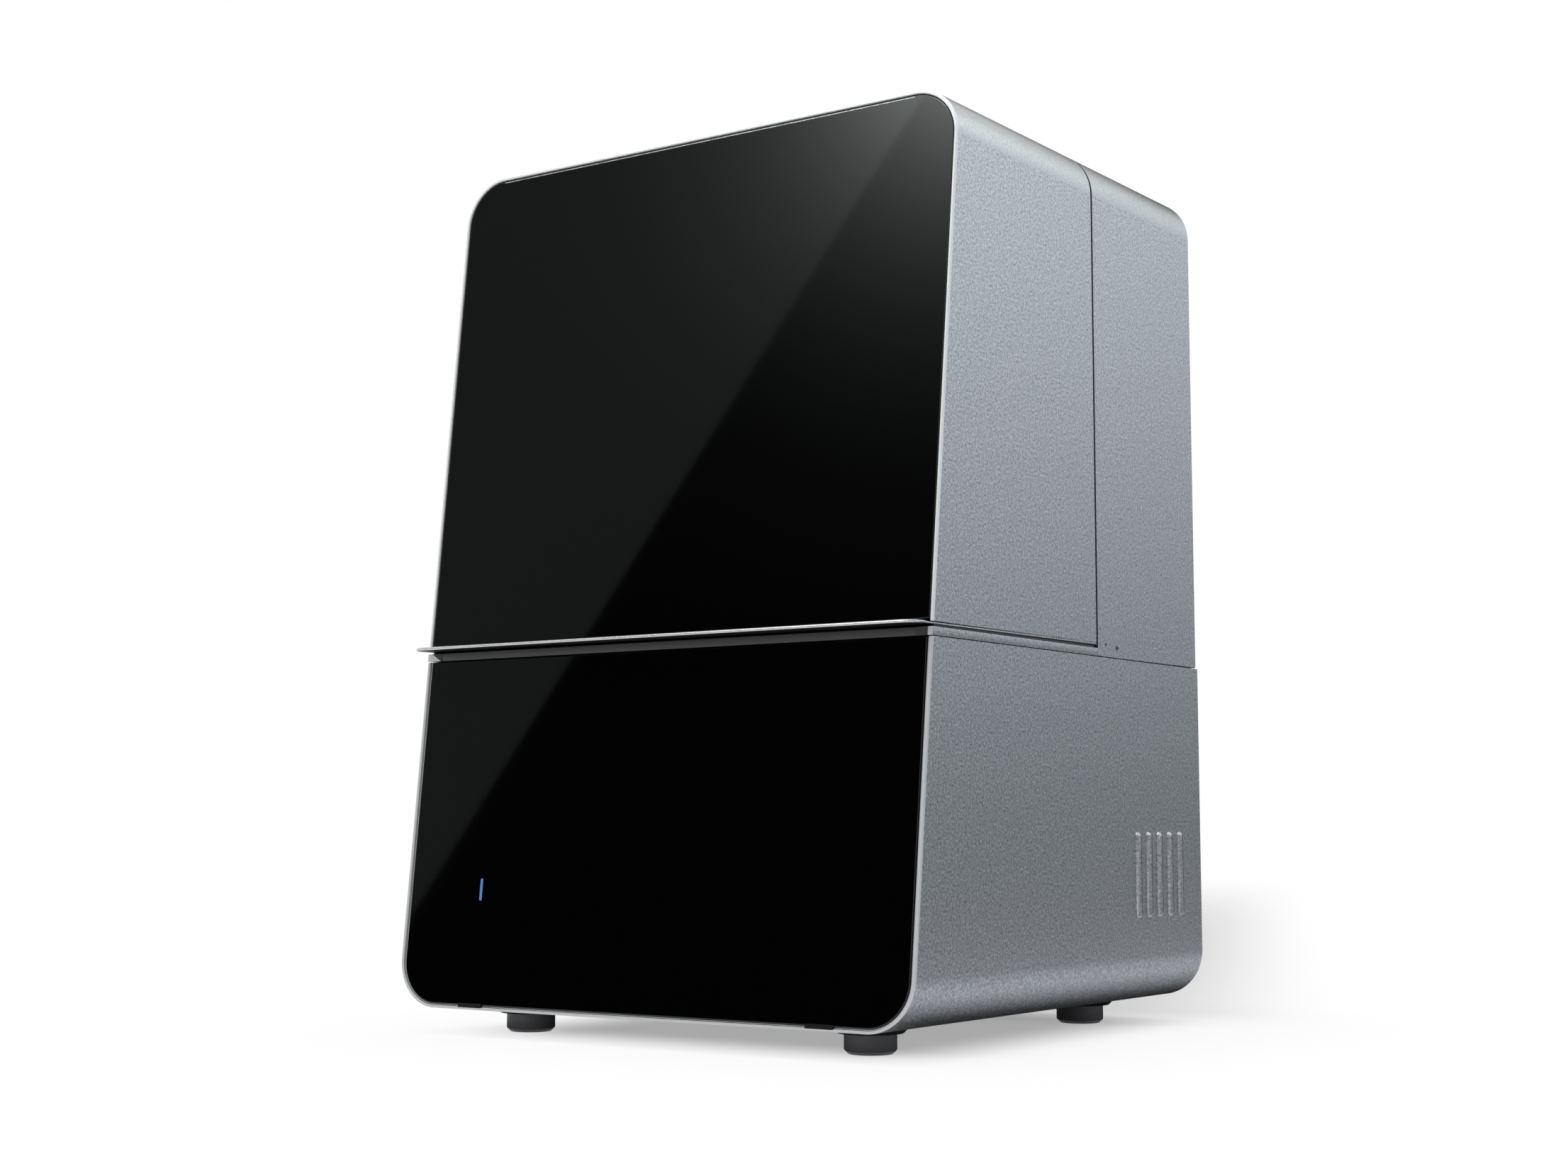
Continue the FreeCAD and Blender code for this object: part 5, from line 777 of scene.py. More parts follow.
def hood_case():
    """Hood: folded wall, open to the rear and below, with its bright rim."""
    sizes = bpy.context.scene.printer_sizes
    low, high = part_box("hood_shell")
    band, groove = 0.84 * sizes.hood_wall, 0.07 * sizes.hood_wall
    path = u_path(high.x, low.z - sizes.wall_drop, high.z, sizes.corner_radius, False)
    section = wall_section(sizes.hood_wall, sizes.rim_chamfer, 0.5 * sizes.rim_step, 0.4 * sizes.edge_round,
                           band, groove)
    shape, kinds = case_wall(path, section, high.y, sizes.edge_round)
    piece("hood_case", shape, "hood", ("case_metal", "rim", "clip", "case_curve"),
          ("hood_shell",), CASE_SHARP, curve_faces(shape, kinds, 3))


def housing_case():
    """Rear housing: folded wall behind the hood, and the strips that run forward under the hood: two bars on
    each side, the outer one bright at its end and the left inner one half so, and one across the front. The
    inner bars and the front strip take the dark seam coat as painted shade under the lip; the bright lower
    half of the left inner end is a painted highlight, and its dark upper half a painted reflection of the
    lip's underside."""
    sizes = bpy.context.scene.printer_sizes
    low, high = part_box("rear_housing")
    metal, bright, dark, curve = range(4)
    hood_gap = 0.002
    edge = sizes.edge_round
    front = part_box("hood_shell")[1].y + hood_gap
    bottom = low.z - sizes.strip_drop
    path = u_path(high.x, bottom, high.z, sizes.corner_radius, False)
    wall, kinds = case_wall(path, plain_section(sizes.hood_wall, 0.25 * edge, edge), high.y, edge, front)
    top = low.z + sizes.strip_height + sizes.strip_rise
    strip_front = front_plane(bottom) + sizes.strip_setback
    reach_x = high.x - sizes.strip_width
    fold_x = high.x - sizes.strip_fold
    strips = []
    finishes = [curve_faces(wall, kinds, curve)]
    for side in SIDES:
        # Inner bars lie under the lip: dark coat, painted shade; the left one's lower end half is a painted
        # highlight
        inner_ends = [bright if side < 0 else dark, dark]
        bars = ((reach_x, fold_x, dark, inner_ends), (fold_x, high.x, metal, [bright, bright]))
        for inner, outer, kind, ends in bars:
            strips.append(side_strip(*sorted((side * inner, side * outer)), front, bottom, top, edge))
            finishes += [np.full(len(strips[-1][1]) - 3, kind), ends, [kind]]
    strip_rear = strip_front + sizes.strip_width
    # Strip across the front: dark coat all over, painted shade under the lip
    strips.append(block((-reach_x, strip_front, bottom), (reach_x, strip_rear, top), edge))
    finishes.append(np.full(len(strips[-1][1]), dark))
    piece("housing_case", merged(wall, *strips), "chassis",
          ("case_metal", "rim", "seam", "case_curve"), ("rear_housing",), CASE_SHARP,
          np.concatenate(finishes))
    side_marks()
    side_seals()
    seam_liner()


def side_strip(low_x, high_x, rear, bottom, top, edge):
    """A bar along one side: a rounded section carried from the leaning front plane to the housing. Its front
    end is parted from the top outer to the bottom inner corner, the lower half first."""
    outline = rounded_rectangle(high_x - low_x, top - bottom, (edge,) * 4, 3,
                                ((low_x + high_x) / 2, (bottom + top) / 2))
    x, z = outline[:, 0], outline[:, 1]
    ends = np.stack([front_plane(z), np.full_like(z, rear)])
    grid = np.stack([np.broadcast_to(x, ends.shape), ends, np.broadcast_to(z, ends.shape)], axis=-1)
    points, faces = skin(grid)
    *sides, first, last = faces
    corner = np.abs(points[list(first), 0]) + points[list(first), 2]
    ring = np.roll(first, -int(np.argmax(corner))).tolist()
    parting = ring.index(first[int(np.argmin(corner))])
    halves = [ring[:parting + 1], ring[parting:] + ring[:1]]
    halves.sort(key=lambda half: np.mean(points[half, 2] - np.abs(points[half, 0])))
    return points, [*sides, *halves, last]


def seam_liner():
    """Dark gasket inside the seam between the base and the housing, along the sides and the back, with a sill
    on each side that closes the gap between the deck and the housing's wall."""
    sizes = bpy.context.scene.printer_sizes
    low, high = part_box("rear_housing")
    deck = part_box("deck_plate")[1]
    width, edge, sunk, clear = 0.008, 0.0003, 0.0004, 0.0002
    front_inset, sill_inset, deck_gap = 0.02, 0.003, 0.0001
    outer, rear = high.x - sizes.hood_wall, high.y - sizes.hood_wall
    inner = outer - width
    bottom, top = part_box("base_shell")[1].z - sunk, low.z - clear
    front = front_plane(low.z) + front_inset
    sill, sill_front = deck.x + deck_gap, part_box("hood_shell")[1].y + sill_inset
    runs = side_blocks(inner, outer, (front, bottom), (rear, top), edge)
    runs.append(block((-inner, rear - width, bottom), (inner, rear, top), edge))
    runs += side_blocks(sill, outer, (sill_front, bottom), (deck.y, deck.z), edge)
    piece("seam_liner", merged(*runs), "chassis", ("rubber",))


def side_marks():
    """Two small dark nubs on each side of the housing, just behind the hood's lower corner: turned domes."""
    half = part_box("rear_housing")[1].x
    root, flatness = 0.0006, 0.7
    nubs = []
    for side in SIDES:
        for y, z, radius in SIDE_NUBS:
            dome = arc((0.0, 0.0), radius, 0, 84, 6) * np.array([1.0, flatness])
            points, faces = along_x(lathe(np.concatenate([[[radius, -root]], dome]), 28))
            nubs.append(moved(outward(points * np.array([side, 1.0, 1.0]), faces), side * half, y, z))
    piece("side_nubs", merged(*nubs), "chassis", ("seam",))


def side_seals():
    """Black foam on the side strips that the closed hood rests on: a low rounded run on each side."""
    sizes = bpy.context.scene.printer_sizes
    low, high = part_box("rear_housing")
    lip_low, lip_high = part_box("hood_lip")
    inset, half_width, edge, clear = 0.0022, 0.0009, 0.0003, 0.0002
    front_inset, rear_inset = 0.004, 0.001
    middle = high.x - inset
    start, end = front_plane(low.z) + front_inset, lip_high.y - rear_inset
    bottom, top = low.z + sizes.strip_height + 0.5 * sizes.strip_rise, lip_low.z - clear
    runs = side_blocks(middle - half_width, middle + half_width, (start, bottom), (end, top), edge)
    piece("side_seals", merged(*runs), "chassis", ("rubber",))


def leaning_panel(outline, low_z, thickness, setback, bevel):
    """A slab laid along the leaning front: outline height runs up the lean, slab height goes inwards."""
    lean = bpy.context.scene.printer_sizes.front_lean
    points, faces = slab(outline, thickness, bevel, setback)
    across, rise, inward = points.T
    y = front_plane(low_z) + rise * math.sin(lean) + inward * math.cos(lean)
    z = low_z + rise * math.cos(lean) - inward * math.sin(lean)
    return outward(np.stack([across, y, z], axis=-1), faces)


def glass_sheet(name, node, body, wall, low, high, round_top):
    """A front glass inside a case wall, between two heights: a leaning slab with two corners rounded to
    follow the wall. Gives back its height along the lean."""
    sizes = bpy.context.scene.printer_sizes
    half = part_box("rear_housing")[1].x
    gap = sizes.glass_clearance
    square, bevel = 0.0008, 0.0005
    width = 2 * (half - wall - gap)
    height = (high - low) / math.cos(sizes.front_lean)
    radius = sizes.corner_radius - wall - gap
    radii = (square, radius, radius, square) if round_top else (radius, square, square, radius)
    outline = rounded_rectangle(width, height, radii, 16, (0.0, height / 2))
    shape = leaning_panel(outline, low, sizes.glass_thickness, sizes.glass_setback, bevel)
    piece(name, shape, body, ("glass",), (node,))
    return height


def top_trim(bottom, height):
    """Thin light trim at the top of the hood's glass, between its rounded corners: a narrow leaning slab."""
    sizes = bpy.context.scene.printer_sizes
    width = 2 * (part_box("rear_housing")[1].x - sizes.corner_radius)
    rise, drop, thickness, proud = 0.0006, 0.0012, 0.001, 0.0002
    outline = rounded_rectangle(width, rise, (0.0002,) * 4, 3, (0.0, height - drop))
    shape = leaning_panel(outline, bottom, thickness, sizes.glass_setback - proud, 0.0001)
    piece("top_trim", shape, "hood", ("case_metal",))


def indicator_bar():
    """Indicator just proud of the lower glass: a leaning slab with round ends."""
    low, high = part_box("indicator_light")
    width, height = high.x - low.x, high.z - low.z
    thickness, proud = 0.002, 0.0001
    middle = ((low.x + high.x) / 2, height / 2)
    outline = rounded_rectangle(width, height, (0.48 * width,) * 4, 6, middle)
    setback = bpy.context.scene.printer_sizes.glass_setback - proud
    shape = leaning_panel(outline, low.z, thickness, setback, 0.0002)
    piece("indicator_bar", shape, "chassis", ("light",), ("indicator_light",))


def front_glass():
    """Lower glass in the base, the hood's glass with its trim, and the indicator bar."""
    sizes = bpy.context.scene.printer_sizes
    gap = sizes.glass_clearance
    low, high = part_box("base_shell")
    bottom = low.z + sizes.base_wall - sizes.rim_rebate + gap
    glass_sheet("lower_glass", "base_fascia", "chassis", sizes.base_wall, bottom, high.z, False)
    low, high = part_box("hood_shell")
    bottom, top = low.z + gap, high.z - sizes.hood_wall - gap
    height = glass_sheet("hood_front_glass", "hood_glass", "hood", sizes.hood_wall, bottom, top, True)
    top_trim(bottom, height)
    indicator_bar()


def glass_clips():
    """Two small black clips in the bottom rim that hold the lower glass."""
    low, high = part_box("fascia_clips")
    width, height, thickness, proud = 0.020, 0.0028, 0.009, 0.00005
    clips = []
    for side in SIDES:
        middle = (side * (high.x - width / 2), height / 2)
        outline = rounded_rectangle(width, height, (0.0003,) * 4, 3, middle)
        clips.append(leaning_panel(outline, low.z, thickness, -proud, 0.0002))
    piece("glass_clips", merged(*clips), "chassis", ("clip",), ("fascia_clips",))


def grip_lip():
    """Grip lip under the hood: a plate whose outer edge is a round nose across the front and turns into a
    plain fold, bevelled below, along the sides. The front hangs down and thins with its distance from the
    root. The nose across the front takes the lighter lip metal, smoother and with a painted highlight that
    stops at the corners; the underside takes the black clip coat as painted shade."""
    sizes = bpy.context.scene.printer_sizes
    low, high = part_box("hood_lip")
    steps, inner_corner, front_limit = 16, 0.003, 0.3
    bevel = sizes.edge_round
    height = high.z - low.z
    inner_half, inner_front = high.x - sizes.lip_flange, low.y + sizes.lip_depth
    outer, inward = u_path(high.x, low.y, high.y, sizes.lip_corner, True, steps)
    inner, inner_inward = u_path(inner_half, inner_front, high.y, inner_corner, True, steps)
    nose = height / 2
    turn = np.linspace(0.0, 1.0, 17)
    angle = np.radians(180 * turn - 90)
    round_reach, round_level = nose * (1 - np.cos(angle)), nose * (1 + np.sin(angle))
    fold_top = height - sizes.wall_drop
    fold, fold_edge = 0.5 * fold_top, 0.3 * bevel
    stations = [0.0, 0.5, 0.9, 1.0]
    fold_reach = np.interp(turn, stations, [fold, 0.0, 0.0, fold_edge])
    fold_level = np.interp(turn, stations, [0.0, fold, fold_top - fold_edge, fold_top])
    front_share = np.clip(inward[:, 1], 0.0, 1.0)[None] ** 0.5
    reach = fold_reach[:, None] * (1 - front_share) + round_reach[:, None] * front_share
    level = low.z + fold_level[:, None] * (1 - front_share) + round_level[:, None] * front_share
    nose_rows = np.concatenate([outer[None] + reach[..., None] * inward[None], level[..., None]], axis=-1)
    inner_edge = inner - bevel * inner_inward
    inner_flat = np.stack([inner_edge, inner, inner, inner_edge])
    inner_level = np.array([high.z, high.z - bevel, low.z + bevel, low.z])
    levels = np.broadcast_to(inner_level[:, None, None], inner_flat.shape[:2] + (1,))
    rows = np.concatenate([nose_rows, np.concatenate([inner_flat, levels], axis=-1)])
    root = front_plane(low.z) + sizes.strip_width
    hang = np.clip((root - rows[..., 1]) / (root - low.y), 0.0, 1.0)
    rows[..., 2] -= hang * (sizes.lip_droop + sizes.lip_taper * (rows[..., 2] - low.z) / height)
    # Front faces get the lighter lip metal, a painted highlight; the underside rows get the black clip coat,
    # painted shade
    at_front = np.repeat(np.abs(inward[:-1, :1]) < front_limit, len(rows), axis=1)
    below = np.zeros(len(rows), dtype=bool)
    below[:3] = below[-2:] = True
    kinds = np.where(below[None], 2, at_front.astype(int)).reshape(-1)
    caps = [0, 0]
    piece("grip_lip", skin(np.swapaxes(rows, 0, 1)), "hood",
          ("case_metal", "lip_metal", "clip"), ("hood_lip",), kinds=np.concatenate([kinds, caps]))


def feet():
    """Rubber feet with a rounded tread, on tapered black pads: turned profiles at the four corners."""
    low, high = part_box("rubber_feet")
    pad_low, pad_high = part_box("foot_pads")
    radius = 0.016
    wide = radius + (pad_high.x - high.x)
    tread = [(0.0055, low.z + 0.006), (0.0055, low.z + 0.0006), (0.0061, low.z), (radius - 0.0028, low.z),
             (radius - 0.0024, low.z + 0.0002), (radius - 0.0002, low.z + 0.0024), (radius, low.z + 0.0029),
             (radius, high.z - 0.0003), (radius - 0.0003, high.z)]
    pad = [(wide - 0.0026, pad_low.z), (wide - 0.0022, pad_low.z + 0.0002), (wide, pad_low.z + 0.0024),
           (wide, pad_high.z - 0.0003), (wide - 0.0003, pad_high.z)]
    places = [(side * (high.x - radius), end * (high.y - radius)) for side in SIDES for end in SIDES]
    for name, node, profile, slot, chosen in (("feet_rubber", "rubber_feet", tread, "foot_rubber", "foot"),
                                              ("feet_pads", "foot_pads", pad, "black_plastic", "plastic")):
        turned = lathe(profile, 56)
        piece(name, merged(*(moved(turned, x, y) for x, y in places)), "chassis", (chosen,), (node,))


# Print chamber


def round_box(node):
    """Low and high corner, middle in plan and radius of a CAD node that is round about Z."""
    low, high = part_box(node)
    return low, high, ((low.x + high.x) / 2, (low.y + high.y) / 2), (high.x - low.x) / 2


def ball_screw():
    """Screw with its helical ball groove: the radius dips by a cosine of height against turn."""
    lead = bpy.context.scene.printer_sizes.screw_lead
    low, high, middle, radius = round_box("ball_screw")
    column_low, column_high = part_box("z_column")
    foot_radius, top_radius, groove = 0.005, 0.004, 0.0011
    clearance, overlap, bevel = 0.003, 0.001, 0.0005
    start, end = column_low.z + clearance, column_high.z - clearance
    height = np.linspace(start, end, int((end - start) / lead * 10))[:, None]
    angle = full_turn(28)[None]
    phase = 2 * np.pi * height / lead - angle
    reach = radius - groove * np.clip(np.cos(phase), 0.0, 1.0) ** 0.7
    thread = skin(polar(reach, angle, height))
    foot = lathe(turned_profile(foot_radius, low.z, start + overlap, bevel), 32)
    top = lathe(turned_profile(top_radius, end - overlap, high.z, bevel), 32)
    piece("ball_screw_turned", moved(merged(thread, foot, top), *middle), "screw", ("steel",),
          ("ball_screw",), 50.0)


def clamp_knob():
    """Clamp knob on the arm: a turned profile with a collar and stud, and hollows pressed into the grip."""
    low, high, middle, radius = round_box("platform_knob")
    stud, lobe_count, lobe_depth = 0.012, 6, 0.13
    arm_top = low.z + stud
    profile = [(0.004, low.z), (0.004, arm_top), (0.011, arm_top + 0.0001), (0.011, arm_top + 0.0046),
               (0.0125, arm_top + 0.0052), (radius - 0.0025, arm_top + 0.0054),
               (radius - 0.0006, arm_top + 0.0066), (radius, arm_top + 0.009), (radius, high.z - 0.004),
               (radius - 0.0008, high.z - 0.0016), (radius - 0.003, high.z - 0.0004),
               (radius - 0.006, high.z), (0.007, high.z), (0.0065, high.z - 0.0006)]

    def lobes(angle, height):
        """Hollows in the grip, none in the collar and stud."""
        grip = np.clip((height - arm_top - 0.005) / 0.003, 0.0, 1.0)
        return 1.0 - lobe_depth * grip * np.clip(np.cos(lobe_count * angle), 0.0, 1.0) ** 1.5

    piece("clamp_knob", moved(lathe(profile, 120, lobes), *middle), "knob", ("plastic",),
          ("platform_knob",))


def thumbscrew(node):
    """Vat thumbscrew: a turned profile with a knurled grip."""
    low, high, middle, radius = round_box(node)
    grip_height, flute_count, flute_depth = 0.015, 24, 0.05
    grip = high.z - grip_height
    profile = [(0.003, low.z), (0.003, grip - 0.0001), (radius - 0.0012, grip), (radius, grip + 0.0012),
               (radius, high.z - 0.0016), (radius - 0.0016, high.z - 0.0002), (0.006, high.z),
               (0.0055, high.z - 0.0008)]

    def knurl(angle, height):
        """Even flutes round the grip, none on the stud."""
        return 1.0 - flute_depth * (height > grip) * (0.5 + 0.5 * np.cos(flute_count * angle))

    piece(f"{node}_turned", moved(lathe(profile, 144, knurl), *middle), node, ("plastic",),
          (node,))


def knobs():
    """Clamp knob on the arm, and the two vat thumbscrews."""
    clamp_knob()
    for node in ("vat_screw_left", "vat_screw_right"):
        thumbscrew(node)


def rail_bolts():
    """Sunk bolts along both lift rails: a thin raised ring each, at an even pitch."""
    low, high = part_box("linear_rails")
    pitch, start, inset, proud = 0.040, 0.6, 0.006, 0.00025
    ring = along_y(lathe([(0.0012, 0.0), (0.0014, 0.0002), (0.0028, 0.0002), (0.003, 0.0)], 20))
    rings = [moved(ring, side * (high.x - inset), low.y - proud, low.z + pitch * (index + start))
             for side in SIDES for index in range(int((high.z - low.z) / pitch))]
    piece("rail_bolts", merged(*rings), "chassis", ("black_steel",))


def fan_rotor():
    """Rotor: a hub and curved blades, each a twisted sheet from root to tip."""
    low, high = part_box("fan_rotor")
    centre = (low + high) / 2
    depth = high.y - low.y
    hub, root, clearance, count = 0.013, 0.0125, 0.0006, 7
    thickness = np.array([0.0005, 0.0, 0.0005])
    span = np.linspace(root, (high.x - low.x) / 2 - clearance, 8)[:, None]
    chord = np.linspace(-1.0, 1.0, 9)[None]
    y = depth * 0.42 * chord * np.ones_like(span) + 0.0012 * (1 - chord ** 2)
    shapes = [along_y(lathe(turned_profile(hub, -depth / 2, depth / 2, 0.001), 48))]
    for index in range(count):
        turn = 2 * np.pi * index / count
        sweep = turn + chord * (0.42 - 4.0 * (span - root)) + 9.0 * (span - root)
        sheet = np.stack([span * np.cos(sweep), y, span * np.sin(sweep)], axis=-1)
        shapes.append(skin(np.concatenate([sheet + thickness, (sheet - thickness)[:, ::-1]], axis=1)))
    piece("fan_rotor_moulded", moved(merged(*shapes), *centre), "fan_rotor", ("plastic",),
          ("fan_rotor",))


def fan_guard():
    """Wire guard: three rings and crossed spokes."""
    low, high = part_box("fan_guard")
    centre = (low + high) / 2
    wire = (high.y - low.y) / 2
    shapes = [along_y(torus(radius, wire)) for radius in (0.012, 0.020, 0.028)]
    spoke = lathe(turned_profile(wire, low.z - centre.z, high.z - centre.z, wire * 0.4), 12)
    shapes += [spoke, along_x(spoke)]
    piece("fan_guard_wire", moved(merged(*shapes), *centre), "chassis", ("wire",),
          ("fan_guard",))


PLAIN_NODES = ("light_shroud", "lens_plate", "heat_sink", "deck_rails", "control_board", "led_board")


def remaining_parts():
    """Every other CAD node: a copy with broken edges, or the node itself where it is hidden inside."""
    for part in frame["record"]["subparts"]:
        node = part["node"]
        shown = frame["nodes"][node]
        if shown.hide_render:
            continue
        chosen = material(SLOT_FINISH[part["material_slot"]])
        if node in PLAIN_NODES:
            shown.data.materials.clear()
            shown.data.materials.append(chosen)
        else:
            broken_edges(node, chosen)


# Studio

SIDE_FACING = (0.454, 0.891)
BACK_FACING = (-0.5, 0.866)
CARD_EDGE = ((-1.791, 2.401), (-2.940, 0.530))
EDGE_SOFTNESS = 0.006
GLOW_CENTRE = (-1.45, 2.75)
GLOW_PEAK = 25.0
GLOW_FADE = 0.0067
# Place and level along the floor card
FLOOR_STOPS = ((0.178, 0.02), (0.222, 0.64), (0.29, 0.57), (0.4, 0.36), (0.6, 0.25))
FLOOR_TINT = (0.95, 0.98, 1.04)
FOOTPRINT_MIDDLE = (0.0125, 0.0175, 0.0)
FOOTPRINT_HALF = (0.11, 0.1125, 0.0)
# Painted shadow on the floor: a turned, soft-edged patch behind the printer that dims the white
PAINTED_SHADOW_TURN = math.radians(-22.6)
PAINTED_SHADOW_SHADE = 0.37
# Axis across or along the painted long shadow, and the limits between which it fades in or out
PAINTED_SHADOW_SIDES = ((0, (0.16, 0.36, 1.0, 0.0)), (0, (-0.2, -0.05, 0.0, 1.0)),
                (1, (0.03, 0.19, 0.0, 1.0)), (1, (0.3, 4.4, 1.0, 0.0)))
SOFTBOX_SIZE = 2.2
SOFTBOX_PLACE = (-0.3, -0.4, 2.4)
SENSOR_WIDTH = 36.0


def vector_node(tree, operation, *sources):
    """A vector math node fed by sockets or vectors."""
    made = add_node(tree, "ShaderNodeVectorMath", operation=operation)
    for socket, source in zip(made.inputs, sources):
        feed(tree, source, socket)
    return made.outputs["Value" if operation == "LENGTH" else "Vector"]


def emission(name, strength):
    """A stage material that only gives off light, its strength made by a function of the tree."""
    made = bpy.data.materials.new(name)
    made.use_nodes = True
    tree = made.node_tree
    tree.nodes.remove(tree.nodes["Principled BSDF"])
    glow = add_node(tree, "ShaderNodeEmission")
    strength(tree, glow)
    tree.links.new(glow.outputs[0], tree.nodes["Material Output"].inputs["Surface"])
    return made


def card(name, corners, strength):
    """A studio card: one flat glowing quad, seen by reflections and not by the camera."""
    mesh = bpy.data.meshes.new(name)
    mesh.from_pydata(corners, [], [(0, 1, 2, 3)])
    mesh.materials.append(emission(name, strength))
    made = linked(name, mesh)
    made.visible_camera = made.visible_diffuse = made.visible_shadow = False


def upright_card(name, start, end, low, high, strength):
    """A card standing on a line in plan, between two heights."""
    card(name, [(*start, low), (*end, low), (*end, high), (*start, high)], strength)


def facing_card(name, facing, distance, left, right, low, high, strength):
    """An upright card at a distance from the printer, square to the direction it stands in."""
    middle, across = Vector(facing) * distance, Vector((facing[1], -facing[0]))
    upright_card(name, middle - across * left, middle + across * right, low, high, strength)


def front_flag_strength(tree, glow):
    """Dark flag that the front glass mirrors: a dim half beyond one slanting edge, and a soft corner glow."""
    x, _, z = place_axes(tree)
    (x0, z0), (x1, z1) = CARD_EDGE
    run, rise = x1 - x0, z1 - z0
    span = math.hypot(run, rise)
    left = math_node(tree, "MULTIPLY", math_node(tree, "SUBTRACT", z, z0), run / span)
    right = math_node(tree, "MULTIPLY", math_node(tree, "SUBTRACT", x, x0), rise / span)
    beyond = math_node(tree, "SUBTRACT", right, left)
    dim = mapped(tree, beyond, (-EDGE_SOFTNESS, EDGE_SOFTNESS, 0.004, 0.17), "SMOOTHSTEP")
    gain = mapped(tree, beyond, (-EDGE_SOFTNESS, EDGE_SOFTNESS, GLOW_PEAK, 1.3 * GLOW_PEAK), "SMOOTHSTEP")
    squares = []
    for axis, centre in zip((x, z), GLOW_CENTRE):
        away = math_node(tree, "SUBTRACT", axis, centre)
        squares.append(math_node(tree, "MULTIPLY", away, away))
    reach = math_node(tree, "SQRT", math_node(tree, "ADD", *squares), 0.0)
    corner = math_node(tree, "MULTIPLY", math_node(tree, "POWER", GLOW_FADE, reach), gain)
    tree.links.new(math_node(tree, "ADD", dim, corner), glow.inputs["Strength"])
    glow.inputs["Color"].default_value = (0.93, 1.0, 0.97, 1.0)


def side_card_strength(tree, glow):
    """Card that the right side mirrors: brightness rising with height, a little less towards its left end,
    and bluish low down."""
    settings = bpy.context.scene.printer_studio
    x, y, z = place_axes(tree)
    across = math_node(tree, "SUBTRACT", math_node(tree, "MULTIPLY", x, SIDE_FACING[1]),
                       math_node(tree, "MULTIPLY", y, SIDE_FACING[0]))
    rise = mapped(tree, z, (-0.2, 2.7, settings.card_low, settings.card_high))
    inset = mapped(tree, across, (-1.1, 0.1, 0.52, 1.0))
    tree.links.new(math_node(tree, "MULTIPLY", rise, inset), glow.inputs["Strength"])
    tint = add_node(tree, "ShaderNodeMix", data_type="RGBA")
    tree.links.new(mapped(tree, z, (1.5, 2.2, 0.0, 1.0)), tint.inputs["Factor"])
    tint.inputs["A"].default_value = (0.92, 0.985, 1.047, 1.0)
    tint.inputs["B"].default_value = (0.95, 1.0, 0.98, 1.0)
    tree.links.new(tint.outputs["Result"], glow.inputs["Color"])


def floor_card_strength(tree, glow):
    """Card on the floor that the right side mirrors low down: dark under the printer, pale beside it, grey
    further off."""
    ramp = add_node(tree, "ShaderNodeValToRGB")
    tree.links.new(mapped(tree, place_axes(tree)[0], (0.0, 1.0, 0.0, 1.0)), ramp.inputs["Fac"])
    places, levels = zip(*FLOOR_STOPS)
    stops = ramp.color_ramp.elements
    stops[0].position, stops[1].position = places[:2]
    for place in places[2:]:
        stops.new(place)
    for stop, level in zip(stops, levels):
        stop.color = (*(share * level for share in FLOOR_TINT), 1.0)
    tree.links.new(ramp.outputs["Color"], glow.inputs["Color"])


def right_flag_strength(tree, glow):
    """Grey flag that the vents' front flanks mirror: dark towards the front, paler to the right."""
    tree.links.new(mapped(tree, place_axes(tree)[1], (-3.6, 0.9, 0.1, 0.5)), glow.inputs["Strength"])


def back_flag_strength(tree, glow):
    """Flag behind the printer that the roof's rounding mirrors along its outline: dark low down, paler
    above."""
    tree.links.new(mapped(tree, place_axes(tree)[2], (2.0, 3.4, 0.0, 1.12)), glow.inputs["Strength"])


def cards():
    """The five cards and flags that the printer mirrors."""
    upright_card("front_flag", (-3.7, -3.0), (-1.2, -3.0), 0.18, 2.95, front_flag_strength)
    facing_card("side_card", SIDE_FACING, 3.0, 1.4, 3.3, -0.4, 4.0, side_card_strength)
    facing_card("back_flag", BACK_FACING, 3.2, 1.7, 2.2, 0.0, 3.6, back_flag_strength)
    upright_card("right_flag", (0.4, -3.6), (4.2, 0.9), -0.2, 1.6, right_flag_strength)
    left, front, far, lift = -0.18, -0.17, 3.2, 0.002
    card("floor_card", [(left, front, lift), (far, front, lift), (far, far, lift), (left, far, lift)],
         floor_card_strength)


def mirrored_rays(tree):
    """1 for rays of the camera, of reflections and through glass, 0 for the light on matt surfaces."""
    path = add_node(tree, "ShaderNodeLightPath").outputs
    seen = math_node(tree, "MAXIMUM", path["Is Camera Ray"], path["Is Glossy Ray"])
    return math_node(tree, "MAXIMUM", seen, path["Is Transmission Ray"])


def white_surroundings():
    """White world for the camera and for mirrored rays, a dimmer fill for matt surfaces."""
    settings = bpy.context.scene.printer_studio
    world = bpy.data.worlds.new("studio_world")
    bpy.context.scene.world = world
    world.use_nodes = True
    tree = world.node_tree
    background = tree.nodes["Background"]
    background.inputs["Color"].default_value = (1.0, 1.0, 1.0, 1.0)
    strength = mapped(tree, mirrored_rays(tree), (0.0, 1.0, settings.fill, settings.background))
    tree.links.new(strength, background.inputs["Strength"])


def floor():
    """Pale floor: rings about the printer, lit and shaded near it, plain white for the camera further off but
    for a painted shadow that runs back from the printer.
    """
    rings, spokes, reach, hole = 24, 64, 14.0, 0.001
    radius = np.linspace(0.0, 1.0, rings)[:, None] ** 1.5 * reach + hole
    grid = polar(radius, full_turn(spokes)[None], 0.0)
    mesh = bpy.data.meshes.new("studio_floor")
    mesh.from_pydata(grid.reshape(-1, 3).tolist(), [], grid_faces(rings, spokes, False))
    mesh.flip_normals()
    mesh.materials.append(floor_material())
    linked("studio_floor", mesh)


